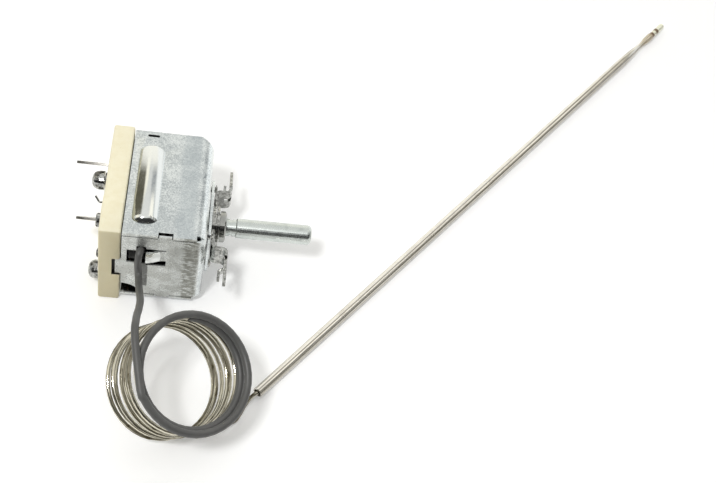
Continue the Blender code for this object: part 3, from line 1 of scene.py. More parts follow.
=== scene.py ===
"""Looks of a capillary thermostat: finishes, folded edges, capillary, sleeve, light and camera.

Lengths are in metres, in the frame of the CAD model: the spindle points along +X, the terminals along -X,
and the capillary leaves on the -Y side.
"""
from __future__ import annotations

import logging
from collections.abc import Iterable, Mapping, Sequence
from dataclasses import dataclass, field
from enum import Enum
from math import ceil, cos, pi, prod, radians, sin
from typing import Any

import bmesh
import bpy
from mathutils import Matrix, Vector


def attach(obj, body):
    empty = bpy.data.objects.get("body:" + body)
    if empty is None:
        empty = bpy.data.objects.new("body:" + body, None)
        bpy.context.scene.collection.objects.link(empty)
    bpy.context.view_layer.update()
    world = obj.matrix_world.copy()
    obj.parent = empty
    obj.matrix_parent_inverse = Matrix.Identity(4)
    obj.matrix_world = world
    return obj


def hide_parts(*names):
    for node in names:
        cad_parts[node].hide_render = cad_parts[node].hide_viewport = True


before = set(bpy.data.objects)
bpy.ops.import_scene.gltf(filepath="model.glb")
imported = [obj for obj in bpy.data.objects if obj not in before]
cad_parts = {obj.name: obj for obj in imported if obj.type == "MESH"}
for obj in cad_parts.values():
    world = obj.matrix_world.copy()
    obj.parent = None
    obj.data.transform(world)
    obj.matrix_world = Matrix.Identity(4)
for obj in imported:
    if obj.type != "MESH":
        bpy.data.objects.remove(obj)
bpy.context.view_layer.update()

log = logging.getLogger("thermostat")

Colour = tuple[float, float, float]
Point = tuple[float, float, float]
MM = 0.001
SHARP = radians(38)


class Body(Enum):
    """Bodies of the CAD model that pieces ride on."""

    HOUSING = "housing"
    SPINDLE = "spindle"
    CARRIER = "carrier"
    PLUNGER = "plunger"
    BLADE = "blade"


class Grain(Enum):
    """Direction of the fine lines that making leaves on a metal."""

    ROUND_X = "turned about X"
    ALONG_X = "drawn along X"
    ALONG_CORD = "drawn along the cord"
    NONE = "none"


class Axis(Enum):
    """Axes of the frame."""

    X = 0
    Y = 1
    Z = 2


class Field:
    """Number that a node socket carries, with Python's arithmetic on it."""

    def __init__(self, recipe: Recipe, socket: bpy.types.NodeSocket) -> None:
        """Wrap an output socket of a recipe."""
        self.recipe = recipe
        self.socket = socket

    def __add__(self, other: Field | float) -> Field:
        """Sum."""
        return self.recipe.math("ADD", self, other)

    def __sub__(self, other: Field | float) -> Field:
        """Difference."""
        return self.recipe.math("SUBTRACT", self, other)

    def __mul__(self, other: Field | float) -> Field:
        """Product."""
        return self.recipe.math("MULTIPLY", self, other)

    def __rsub__(self, other: float) -> Field:
        """Number less the field."""
        return self.recipe.math("SUBTRACT", other, self)

    __radd__ = __add__
    __rmul__ = __mul__


class Recipe:
    """Node tree of one material."""

    def __init__(self, name: str) -> None:
        """Start a material with its Principled shader.

        Args:
            name: Name of the material.
        """
        self.material = bpy.data.materials.new(name)
        self.material.use_nodes = True
        self.tree = self.material.node_tree
        self.shader = self.tree.nodes["Principled BSDF"]
        self.output = self.tree.nodes["Material Output"]

    def node(
        self, kind: str, settings: Mapping[str, Any] | None = None,
        sockets: Mapping[Any, Any] | None = None,
    ) -> bpy.types.Node:
        """Make one node.

        Args:
            kind: Type of the node.
            settings: Its settings, which are set first.
            sockets: Values or links of its inputs, by name or number.

        Returns:
            The node.
        """
        made = self.tree.nodes.new(kind)
        for name, value in (settings or {}).items():
            setattr(made, name, value)
        for name, value in (sockets or {}).items():
            self.join(made.inputs[name], value)
        return made

    def join(self, target: bpy.types.NodeSocket, value: Any) -> None:
        """Link an input to a field or socket, or set its value.

        Args:
            target: The input.
            value: A field, a socket, a number, a vector or a colour.
        """
        if isinstance(value, Field):
            self.tree.links.new(value.socket, target)
        elif isinstance(value, bpy.types.NodeSocket):
            self.tree.links.new(value, target)
        elif isinstance(value, tuple) and len(value) == 3 and target.type == "RGBA":
            target.default_value = (*value, 1.0)
        else:
            target.default_value = value

    def math(self, operation: str, first: Field | float, second: Field | float = 0.0) -> Field:
        """Math node on one or two numbers."""
        made = self.node("ShaderNodeMath", {"operation": operation}, {0: first, 1: second})
        return Field(self, made.outputs[0])

    def coordinates(self, scale: Point = (1.0, 1.0, 1.0), turn: Point = (0.0, 0.0, 0.0),
                    centre: Point = (0.0, 0.0, 0.0)) -> bpy.types.NodeSocket:
        """Object coordinates about a centre, turned and stretched.

        Args:
            scale: Pattern repeats per metre along each axis.
            turn: Turn about each axis, in degrees.
            centre: Point of the piece that becomes the pattern's origin.

        Returns:
            The vector socket.
        """
        place = self.node("ShaderNodeTexCoord").outputs["Object"]
        moved = self.node("ShaderNodeVectorMath", {"operation": "SUBTRACT"}, {0: place, 1: centre})
        turned = self.node("ShaderNodeMapping", None, {
            "Vector": moved.outputs[0], "Rotation": tuple(radians(angle) for angle in turn),
        })
        stretched = self.node("ShaderNodeVectorMath", {"operation": "MULTIPLY"}, {
            0: turned.outputs[0], 1: scale,
        })
        return stretched.outputs[0]

    def length_of_cord(self, scale: Point) -> bpy.types.NodeSocket:
        """The piece's own UV map, along its length and round it, stretched.

        Args:
            scale: Pattern repeats over the whole length and once round.

        Returns:
            The vector socket.
        """
        place = self.node("ShaderNodeTexCoord").outputs["UV"]
        stretched = self.node("ShaderNodeVectorMath", {"operation": "MULTIPLY"}, {0: place, 1: scale})
        return stretched.outputs[0]

    def noise(self, vector: bpy.types.NodeSocket, scale: float = 1.0, detail: float = 2.0,
              rough: float = 0.5) -> Field:
        """Noise at a vector.

        Args:
            vector: Where the noise is read.
            scale: Its repeats per unit of the vector.
            detail: Its layers of finer noise.
            rough: How much the finer layers count.

        Returns:
            The noise, from 0 to 1.
        """
        made = self.node("ShaderNodeTexNoise", None, {
            "Vector": vector, "Scale": scale, "Detail": detail, "Roughness": rough,
        })
        return Field(self, made.outputs["Fac"])

    def cells(self, vector: bpy.types.NodeSocket, scale: float = 1.0) -> Field:
        """One chance number for each crystal of a pattern.

        Args:
            vector: Where the pattern is read.
            scale: Crystals per unit of the vector.

        Returns:
            The number, from 0 to 1.
        """
        made = self.node("ShaderNodeTexVoronoi", {"feature": "F1"}, {"Vector": vector, "Scale": scale})
        parts = self.node("ShaderNodeSeparateColor", None, {"Color": made.outputs["Color"]})
        return Field(self, parts.outputs[0])

    def between(self, value: Field, low: float, high: float) -> Field:
        """Smooth step of a number.

        Args:
            value: The number.
            low: Where the step is 0; it may lie above high.
            high: Where the step is 1.

        Returns:
            The step, from 0 to 1.
        """
        made = self.node("ShaderNodeMapRange", {"interpolation_type": "SMOOTHSTEP"}, {
            "Value": value, "From Min": low, "From Max": high,
        })
        return Field(self, made.outputs["Result"])

    def mix(self, factor: Field | float, first: Any, second: Any) -> bpy.types.NodeSocket:
        """Blend of two colours."""
        made = self.node("ShaderNodeMix", {"data_type": "RGBA"}, {0: factor, 6: first, 7: second})
        return made.outputs[2]

    def axis(self, vector: bpy.types.NodeSocket, number: int) -> Field:
        """One component of a vector."""
        parts = self.node("ShaderNodeSeparateXYZ", None, {0: vector})
        return Field(self, parts.outputs[number])

    def bump(self, height: Field, distance: float) -> bpy.types.NodeSocket:
        """Normal that a height pattern of a real depth gives."""
        made = self.node("ShaderNodeBump", None, {"Strength": 1.0, "Distance": distance, "Height": height})
        return made.outputs["Normal"]

    def paint(
        self, colour: Any, zone: Zone, place: bpy.types.NodeSocket, strength: Field | float = 1.0,
        shift: Field | float = 0.0,
    ) -> bpy.types.NodeSocket:
        """Lay a zone's colour over a colour.

        Args:
            colour: The colour underneath.
            zone: The zone.
            place: Coordinates that its edges stand in.
            strength: How much of the zone's colour covers.
            shift: What its ragged edges wander by.

        Returns:
            The new colour.
        """
        return self.mix(zone.mask(self, place, shift) * strength, colour, zone.colour)

    def finish(self, **sockets: Any) -> bpy.types.Material:
        """Set or link the shader's sockets and hand over the material.

        Args:
            sockets: Values by the sockets' names, with underscores for spaces.

        Returns:
            The material.
        """
        for name, value in sockets.items():
            self.join(self.shader.inputs[name.replace("_", " ")], value)
        return self.material


class Sky(Recipe):
    """Node tree of the world."""

    def __init__(self, name: str) -> None:
        """Start a world with its background shader.

        Args:
            name: Name of the world.
        """
        world = bpy.data.worlds.new(name)
        world.use_nodes = True
        self.tree = world.node_tree
        self.shader = self.tree.nodes["Background"]
        bpy.context.scene.world = world


@dataclass(frozen=True)
class Edge:
    """Soft edge of a zone across one axis, from where it is clear to where it is full."""

    axis: Axis
    clear: float
    full: float
    ragged: bool = False


def edge_mm(axis: Axis, clear: float, full: float, ragged: bool = False) -> Edge:
    """Soft edge at places in millimetres."""
    return Edge(axis, clear * MM, full * MM, ragged)


@dataclass(frozen=True)
class Zone:
    """Coloured part of a pattern, inside its soft edges."""

    colour: Colour
    edges: tuple[Edge, ...]

    def mask(self, recipe: Recipe, place: bpy.types.NodeSocket, shift: Field | float = 0.0) -> Field:
        """Where the zone is.

        Args:
            recipe: Recipe of the material or of the sky.
            place: Coordinates that the edges stand in.
            shift: What the ragged edges wander by.

        Returns:
            The mask, from 0 to 1.
        """
        parts = []
        for edge in self.edges:
            value = recipe.axis(place, edge.axis.value)
            if edge.ragged:
                value = value + shift
            parts.append(recipe.between(value, edge.clear, edge.full))
        return prod(parts)


@dataclass(frozen=True)
class CaseMarksAndPaintedShade:
    """What pressing and use leave on the case, from its dull bloomed flap to its stretch lines, with painted
    light as well: painted shade darkening the flap, a painted shadow of the sleeve, and painted near-black
    shade within the case.
    """

    line: float = 0.62 * MM
    length: float = 2.4 * MM
    patch: float = 3.2 * MM
    speck: float = 0.45 * MM
    bloom: float = 0.62
    olive_share: float = 0.35
    polished_share: float = 0.85
    stained_share: float = 0.45
    bloom_and_shade_share: float = 0.85
    speck_share: float = 0.40
    line_share: float = 0.85
    painted_sleeve_shadow_share: float = 0.80
    pale: Colour = (0.66, 0.68, 0.655)
    # Front flap: a real dull bloom, in a darker colour that is partly painted shade, for the shade that its
    # face mirrors.
    flap: Zone = Zone((0.47, 0.48, 0.45), (edge_mm(Axis.Y, -17.1, -17.4),))
    rib: Zone = Zone((0.80, 0.815, 0.79), (edge_mm(Axis.Z, 30.35, 30.65),))
    tongue: Zone = Zone((0.80, 0.815, 0.79), (edge_mm(Axis.Y, -17.70, -17.85),))
    lines: Zone = Zone((0.20, 0.20, 0.17), (edge_mm(Axis.X, 19.4, 21.8), edge_mm(Axis.X, 25.6, 24.6)))
    olive: Zone = Zone((0.20, 0.20, 0.17), (edge_mm(Axis.X, 21.8, 23.6),))
    stain: Zone = Zone((0.50, 0.55, 0.57), (edge_mm(Axis.X, 18.6, 20.4, True), edge_mm(Axis.X, 24.0, 22.8)))
    # Painted shadow: the sleeve's shadow on the front flap, a near-black stripe beside the sleeve.
    painted_sleeve_shadow: Zone = Zone((0.045, 0.045, 0.042), (
        edge_mm(Axis.X, 9.2, 9.6, True), edge_mm(Axis.X, 11.4, 11.1, True),
        edge_mm(Axis.Z, 7.0, 7.5, True), edge_mm(Axis.Z, 18.8, 18.4, True), edge_mm(Axis.Y, -17.1, -17.4),
    ))
    # Painted shade: the case's interior faces are painted near black, where shade falls.
    painted_shade_interior: Zone = Zone((0.05, 0.05, 0.05), (
        edge_mm(Axis.Y, -17.0, -16.8), edge_mm(Axis.Y, 22.0, 21.8),
        edge_mm(Axis.Z, 2.6, 2.8), edge_mm(Axis.Z, 29.6, 29.4), edge_mm(Axis.X, 23.2, 23.0),
    ))

    def pressed(self, recipe: Recipe, place: bpy.types.NodeSocket) -> Field:
        """Where the rib and the tongue stand out of the sheet, stretched smooth."""
        return recipe.math("MAXIMUM", self.rib.mask(recipe, place), self.tongue.mask(recipe, place))

    def drawn(self, recipe: Recipe, place: bpy.types.NodeSocket) -> Field:
        """Where the flap has short dark lines before its fold, on an olive ground.

        Args:
            recipe: Recipe of the sheet's material.
            place: Its coordinates.

        Returns:
            The mask, from 0 to 1.
        """
        zone = self.lines.mask(recipe, place)
        lines = recipe.noise(recipe.coordinates((1 / self.length, 0.0, 1 / self.line)), 1.0, 1.0)
        dashes = recipe.between(lines + zone * 0.16, 0.58, 0.66)
        olive = self.olive.mask(recipe, place) * self.olive_share
        return recipe.math("MAXIMUM", dashes, olive) * zone * self.flap.mask(recipe, place)

    def cover(self, recipe: Recipe, place: bpy.types.NodeSocket, colour: Any) -> bpy.types.NodeSocket:
        """Lay the marks and the painted shade and shadow over the sheet's colour.

        Args:
            recipe: Recipe of the sheet's material.
            place: Its coordinates.
            colour: The sheet's colour.

        Returns:
            The marked colour.
        """
        smooth = self.pressed(recipe, place)
        dull = self.flap.mask(recipe, place) * (1.0 - smooth)
        patches = recipe.between(recipe.noise(place, 1 / self.patch, 3.0, 0.6), 0.40, 0.60)
        specks = recipe.between(recipe.noise(place, 1 / self.speck, 2.0, 0.6), 0.60, 0.68)
        stain_edge = recipe.noise(place, 1 / (5.0 * MM), 3.0, 0.6) * 3.0 * MM
        painted_sleeve_shadow_edge = recipe.noise(place, 1 / (1.2 * MM), 3.0, 0.6) * 0.5 * MM
        colour = recipe.mix(smooth * self.polished_share, colour, self.rib.colour)
        colour = recipe.paint(colour, self.stain, place, self.stained_share, stain_edge)
        # Dull bloom of the front flap, darkened with painted shade.
        worn = recipe.mix(patches, self.flap.colour, self.pale)
        colour = recipe.mix(dull * self.bloom_and_shade_share, colour, worn)
        colour = recipe.mix(specks * dull * self.speck_share, colour, self.lines.colour)
        colour = recipe.mix(self.drawn(recipe, place) * self.line_share, colour, self.lines.colour)
        # Painted shadow of the sleeve on the front flap.
        colour = recipe.paint(colour, self.painted_sleeve_shadow, place, self.painted_sleeve_shadow_share, painted_sleeve_shadow_edge)
        # Painted shade within the case.
        return recipe.paint(colour, self.painted_shade_interior, place)


@dataclass(frozen=True)
class ZincSheet:
    """Zinc-plated sheet steel: faint crystals, a cloudy bloom and fine handling marks."""

    name: str = "zinc_sheet"
    light: Colour = (0.85, 0.885, 0.875)
    dark: Colour = (0.52, 0.555, 0.56)
    roughness: float = 0.20
    crystal: float = 0.50 * MM
    cloud: float = 8.0 * MM
    wave: float = 4.5 * MM
    wave_height: float = 0.012 * MM
    scratch: Colour = (0.92, 0.93, 0.93)
    scratch_share: float = 0.30
    scratch_rates: Point = (260.0, 5200.0, 5200.0)
    scratch_turn: float = 24.0

    def build(self, marks: CaseMarksAndPaintedShade | None = None) -> bpy.types.Material:
        """Make the material.

        Args:
            marks: Marks and painted shade of the case, if the sheet is the case's.

        Returns:
            The material.
        """
        recipe = Recipe(self.name)
        place = recipe.coordinates()
        crystals = recipe.cells(place, 1 / self.crystal)
        speckle = recipe.noise(place, 1 / (self.crystal * 0.7), 2.0, 0.6)
        clouds = recipe.between(recipe.noise(place, 1 / self.cloud, 4.0, 0.65), 0.36, 0.68)
        turned = recipe.coordinates(self.scratch_rates, (0.0, 0.0, self.scratch_turn))
        scratches = recipe.between(recipe.noise(turned, 1.0, 1.0), 0.70, 0.78)
        tone = crystals * 0.22 + speckle * 0.95 + clouds * 0.22
        colour = recipe.mix(recipe.between(tone, 0.38, 0.96), self.dark, self.light)
        colour = recipe.mix(scratches * self.scratch_share, colour, self.scratch)
        roughness = clouds * 0.06 + crystals * 0.05 + speckle * 0.12 + (self.roughness - 0.09)
        height = recipe.noise(place, 1 / self.wave, 1.0) + speckle * 0.05 + crystals * 0.02
        metal: Field | float = 1.0
        if marks is not None:
            colour = marks.cover(recipe, place, colour)
            smooth = marks.pressed(recipe, place)
            dull = marks.flap.mask(recipe, place) * (1.0 - smooth)
            metal = 1.0 - dull * marks.bloom * (0.6 + clouds * 0.4)
            roughness = roughness + dull * 0.06 - smooth * 0.07
            height = height - marks.drawn(recipe, place) * 0.25
            height = height * (1.0 - dull * 0.5) * (1.0 - smooth * 0.6)
        return recipe.finish(
            Base_Color=colour, Metallic=metal, Roughness=roughness,
            Normal=recipe.bump(height, self.wave_height),
        )


@dataclass(frozen=True)
class MouldedPlastic:
    """Cream moulded insulating material with faint mottling and pinholes, with painted shade on its front
    face and in its key slot.
    """

    name: str = "moulded_cream"
    light: Colour = (0.90, 0.85, 0.65)
    dark: Colour = (0.82, 0.745, 0.50)
    hole: Colour = (0.45, 0.38, 0.22)
    # Painted shade: the base's front face is darker and yellower, as if less lit.
    painted_front_shade: Zone = Zone((0.66, 0.575, 0.34), (edge_mm(Axis.Y, -17.9, -18.2),))
    # Painted shade: the key slot's recess is painted near black.
    slot: Zone = Zone((0.02, 0.018, 0.015), (
        edge_mm(Axis.X, 0.65, 0.75), edge_mm(Axis.Y, -18.1, -17.9), edge_mm(Axis.Y, -15.5, -16.0),
        edge_mm(Axis.Z, 11.3, 11.5), edge_mm(Axis.Z, 19.4, 19.2),
    ))
    painted_front_shade_share: float = 0.60
    roughness: float = 0.55
    mottle: float = 2.4 * MM
    grit: float = 0.25 * MM
    pinhole: float = 1.6 * MM
    depth: float = 0.012 * MM

    def build(self) -> bpy.types.Material:
        """Make the material.

        Returns:
            The material.
        """
        recipe = Recipe(self.name)
        place = recipe.coordinates()
        mottle = recipe.between(recipe.noise(place, 1 / self.mottle, 4.0, 0.6), 0.30, 0.75)
        fine = recipe.noise(place, 1 / self.grit, 2.0)
        dots = recipe.node("ShaderNodeTexVoronoi", {"feature": "F1"}, {
            "Vector": place, "Scale": 1 / self.pinhole,
        })
        holes = 1.0 - recipe.between(Field(recipe, dots.outputs["Distance"]), 0.03, 0.09)
        colour = recipe.mix(mottle * 0.45 + fine * 0.12, self.light, self.dark)
        colour = recipe.mix(holes * 0.35, colour, self.hole)
        # Painted shade on the base's front face.
        colour = recipe.paint(colour, self.painted_front_shade, place, self.painted_front_shade_share)
        # Painted shade in the key slot.
        colour = recipe.paint(colour, self.slot, place)
        roughness = fine * 0.14 + (self.roughness - 0.07)
        height = fine * 0.5 + mottle * 0.5 - holes * 0.8
        return recipe.finish(
            Base_Color=colour, Roughness=roughness, Normal=recipe.bump(height, self.depth),
        )


@dataclass(frozen=True)
class WorkedMetal:
    """Bare or plated metal with the fine lines of turning or drawing."""

    name: str
    colour: Colour
    roughness: float
    grain: Grain
    shade: Colour = (0.45, 0.44, 0.41)
    line: float = 0.12 * MM
    depth: float = 0.004 * MM
    stain: float = 2.5 * MM
    streaks: Point = (60.0, 7.0, 1.0)
    streak_depth: float = 3.2

    def lines(self, recipe: Recipe) -> Field:
        """Lines that lie in the grain's direction.

        Args:
            recipe: Recipe of the material.

        Returns:
            The pattern.
        """
        if self.grain is Grain.ALONG_CORD:
            # Streaks along the cord: drawing marks, and painted dark reflection lines.
            streaks = recipe.noise(recipe.length_of_cord(self.streaks), 1.0, 1.0)
            return recipe.between(streaks, 0.42, 0.56) * self.streak_depth
        rate = 1 / self.line
        rates = {
            Grain.ROUND_X: (rate, rate * 0.04, rate * 0.04),
            Grain.ALONG_X: (rate * 0.02, rate, rate),
            Grain.NONE: (rate, rate, rate),
        }
        return recipe.noise(recipe.coordinates(rates[self.grain]), 1.0, 2.0)

    def build(self) -> bpy.types.Material:
        """Make the material.

        Returns:
            The material.
        """
        recipe = Recipe(self.name)
        stains = recipe.between(recipe.noise(recipe.coordinates(), 1 / self.stain, 3.0, 0.6), 0.45, 0.80)
        lines = self.lines(recipe)
        colour = recipe.mix(stains * 0.35 + lines * 0.25, self.colour, self.shade)
        roughness = lines * 0.16 + stains * 0.10 + (self.roughness - 0.10)
        return recipe.finish(
            Base_Color=colour, Metallic=1.0, Roughness=roughness, Normal=recipe.bump(lines, self.depth),
        )


@dataclass(frozen=True)
class HeatTintedProbe:
    """Stainless probe with drawing lines, dark lengthwise stripes that are partly painted reflection, and
    the brown tint that welding left near its tip.
    """

    start: Point
    bearing: float
    tint_from: float
    tint_to: float
    name: str = "stainless_probe"
    ring_places: tuple[float, float] = (229.7 * MM, 232.9 * MM)
    ring: float = 0.7 * MM
    tint_length: float = 5.0 * MM
    stain: float = 4.0 * MM
    line_rates: Point = (90.0, 9000.0, 9000.0)
    drawing_and_reflection_band_rates: Point = (3.0, 1500.0, 1500.0)
    ring_rates: Point = (420.0, 30.0, 30.0)
    colour: Colour = (0.88, 0.855, 0.80)
    shade: Colour = (0.50, 0.455, 0.40)
    # Colour of the dark lengthwise stripes, partly painted reflection.
    drawn: Colour = (0.30, 0.27, 0.205)
    tint: Colour = (0.46, 0.37, 0.22)
    burnt: Colour = (0.13, 0.065, 0.025)
    tip: Colour = (0.88, 0.89, 0.74)
    roughness: float = 0.16
    metallic: float = 0.8
    depth: float = 0.004 * MM

    def lengthwise(self, recipe: Recipe, rates: Point) -> bpy.types.NodeSocket:
        """Coordinates from the probe's start, along it and across it."""
        return recipe.coordinates(rates, (0.0, 0.0, -self.bearing), self.start)

    def build(self) -> bpy.types.Material:
        """Make the material.

        Returns:
            The material.
        """
        recipe = Recipe(self.name)
        along = recipe.axis(self.lengthwise(recipe, (1.0, 1.0, 1.0)), Axis.X.value)
        lines = recipe.between(recipe.noise(self.lengthwise(recipe, self.line_rates)), 0.40, 0.60)
        drawing_and_reflection_bands = recipe.between(recipe.noise(self.lengthwise(recipe, self.drawing_and_reflection_band_rates)), 0.50, 0.58)
        rings = recipe.noise(self.lengthwise(recipe, self.ring_rates))
        stains = recipe.between(recipe.noise(recipe.coordinates(), 1 / self.stain, 4.0, 0.65), 0.42, 0.75)
        heat = recipe.between(along + rings * 3 * MM, self.tint_from, self.tint_from + self.tint_length)
        cool = recipe.between(along + stains * MM, self.tint_to - MM, self.tint_to + MM)
        colour = recipe.mix(lines * 0.35 + stains * 0.30, self.colour, self.shade)
        # Dark lengthwise stripes: drawing lines, and painted reflection of the dark surroundings that the
        # tube mirrors.
        colour = recipe.mix(drawing_and_reflection_bands * 0.75, colour, self.drawn)
        colour = recipe.mix(heat * (0.55 + stains * 0.30), colour, self.tint)
        colour = recipe.mix(cool * 0.9, colour, self.tip)
        for centre in self.ring_places:
            before = recipe.between(along + rings * 0.8 * MM, centre - self.ring, centre)
            after = recipe.between(along, centre + self.ring * 1.6, centre + self.ring * 0.6)
            colour = recipe.mix(before * after * 0.9, colour, self.burnt)
        roughness = lines * 0.14 + stains * 0.10 + cool * 0.15 + (self.roughness - 0.10)
        return recipe.finish(
            Base_Color=colour, Metallic=self.metallic, Roughness=roughness,
            Normal=recipe.bump(lines + rings * 0.5, self.depth),
        )


@dataclass(frozen=True)
class CoatedSleeve:
    """Grey silicone-coated glass sleeve: a weave that barely shows through its coat."""

    length: float
    name: str = "grey_sleeve"
    colour: Colour = (0.086, 0.086, 0.083)
    worn: Colour = (0.155, 0.155, 0.148)
    roughness: float = 0.44
    pitch: float = 0.55 * MM
    strands: float = 14.0
    grit: float = 0.30 * MM
    rub: float = 6.0 * MM
    depth: float = 0.014 * MM

    def build(self) -> bpy.types.Material:
        """Make the material.

        Returns:
            The material.
        """
        recipe = Recipe(self.name)
        weave = recipe.length_of_cord((self.length / self.pitch, self.strands, 1.0))
        turn = recipe.axis(weave, 0) * 2 * pi
        lean = recipe.axis(weave, 1) * 2 * pi
        along = recipe.math("SINE", turn + lean)
        across = recipe.math("SINE", turn - lean)
        place = recipe.coordinates()
        fine = recipe.noise(place, 1 / self.grit, 2.0)
        rub = recipe.between(recipe.noise(place, 1 / self.rub, 3.0, 0.6), 0.50, 0.80)
        colour = recipe.mix(rub * 0.35 + fine * 0.20, self.colour, self.worn)
        roughness = fine * 0.16 + rub * 0.10 + (self.roughness - 0.12)
        height = along * across * 0.5 + fine * 0.6
        return recipe.finish(Base_Color=colour, Roughness=roughness, Normal=recipe.bump(height, self.depth))


@dataclass(frozen=True)
class FiredCeramic:
    """White ceramic of the plunger, with a few grey specks."""

    name: str = "fired_ceramic"
    colour: Colour = (0.86, 0.85, 0.81)
    speck: Colour = (0.45, 0.43, 0.40)
    speck_size: float = 0.4 * MM
    grit: float = 0.15 * MM
    depth: float = 0.008 * MM

    def build(self) -> bpy.types.Material:
        """Make the material.

        Returns:
            The material.
        """
        recipe = Recipe(self.name)
        place = recipe.coordinates()
        specks = recipe.between(recipe.noise(place, 1 / self.speck_size, 2.0), 0.66, 0.74)
        grit = recipe.noise(place, 1 / self.grit, 2.0)
        colour = recipe.mix(specks * 0.5, self.colour, self.speck)
        return recipe.finish(
            Base_Color=colour, Roughness=grit * 0.2 + 0.35, Normal=recipe.bump(grit, self.depth),
        )


def put(piece: bpy.types.Object, material: bpy.types.Material, body: Body) -> bpy.types.Object:
    """Give a new piece its material and the body it rides on.

    Args:
        piece: The piece.
        material: Its material.
        body: Body of the CAD model.

    Returns:
        The piece.
    """
    piece.data.materials.clear()
    piece.data.materials.append(material)
    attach(piece, body.value)
    log.info("%s rides on %s", piece.name, body.value)
    return piece


def piece_from(name: str, bm: bmesh.types.BMesh) -> bpy.types.Object:
    """Make an object of a finished bmesh, with its faces pointing outwards.

    Args:
        name: Name of the object.
        bm: The bmesh, which is freed.

    Returns:
        The object.
    """
    bmesh.ops.remove_doubles(bm, verts=bm.verts, dist=1e-7)
    bmesh.ops.recalc_face_normals(bm, faces=bm.faces)
    mesh = bpy.data.meshes.new(name)
    bm.to_mesh(mesh)
    bm.free()
    piece = bpy.data.objects.new(name, mesh)
    bpy.context.scene.collection.objects.link(piece)
    return piece


def dress(names: Iterable[str], material: bpy.types.Material) -> None:
    """Give CAD nodes whose shape is right their material.

    Args:
        names: Names of the nodes.
        material: The material.
    """
    for name in names:
        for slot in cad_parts[name].material_slots:
            slot.material = material
        log.info("%s dressed in %s", name, material.name)


def rounded_copy(node: str, edge: float) -> bpy.types.Object:
    """Copy a CAD node with its sharp edges broken by a small round, to stand for it.

    Args:
        node: Name of the CAD node.
        edge: Width of the round.

    Returns:
        The copy, which replaces the node.
    """
    bm = bmesh.new()
    bm.from_mesh(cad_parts[node].data)
    bmesh.ops.remove_doubles(bm, verts=bm.verts, dist=1e-6)
    bmesh.ops.dissolve_limit(bm, angle_limit=radians(1.0), verts=bm.verts, edges=bm.edges)
    mesh = bpy.data.meshes.new(f"{node}_finished")
    bm.to_mesh(mesh)
    bm.free()
    piece = bpy.data.objects.new(f"{node}_finished", mesh)
    bpy.context.scene.collection.objects.link(piece)
    mesh.shade_smooth()
    mesh.set_sharp_from_angle(angle=SHARP)
    bevel = piece.modifiers.new("broken edges", "BEVEL")
    bevel.width = edge
    bevel.segments = 2
    bevel.limit_method = "ANGLE"
    bevel.angle_limit = SHARP
    bevel.use_clamp_overlap = True
    bevel.harden_normals = True
    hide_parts(node)
    return piece


def smooth_route(points: Sequence[Vector], spacing: float) -> list[Vector]:
    """Points on a smooth curve through a route's own points.

    Args:
        points: The route's points.
        spacing: About the distance between the points that come back.

    Returns:
        The points, from the route's first to its last.
    """
    padded = [2 * points[0] - points[1], *points, 2 * points[-1] - points[-2]]
    fine = []
    for a, b, c, d in zip(padded, padded[1:], padded[2:], padded[3:]):
        steps = max(2, ceil((c - b).length / spacing))
        for step in range(steps):
            t = step / steps
            fine.append(0.5 * (
                2 * b + (c - a) * t + (2 * a - 5 * b + 4 * c - d) * t ** 2
                + (3 * b - 3 * c + d - a) * t ** 3
            ))
    fine.append(points[-1])
    return fine


def length_of(points: Sequence[Vector]) -> float:
    """Length of a line through points."""
    return sum((b - a).length for a, b in zip(points, points[1:]))


def tube_curve(name: str, points: Sequence[Vector], diameter: float, rounds: int,
               caps: bool) -> bpy.types.Object:
    """Round tube along points, as a curve.

    Args:
        name: Name of the piece.
        points: Its centreline.
        diameter: Its outer diameter.
        rounds: Roundness of its section.
        caps: Whether its ends are closed.

    Returns:
        The curve object.
    """
    curve = bpy.data.curves.new(name, "CURVE")
    curve.dimensions = "3D"
    curve.bevel_depth = diameter / 2
    curve.bevel_resolution = rounds
    curve.use_fill_caps = caps
    spline = curve.splines.new("POLY")
    spline.points.add(len(points) - 1)
    for point, place in zip(spline.points, points):
        point.co = (*place, 1.0)
    spline.use_smooth = True
    piece = bpy.data.objects.new(name, curve)
    bpy.context.scene.collection.objects.link(piece)
    return piece


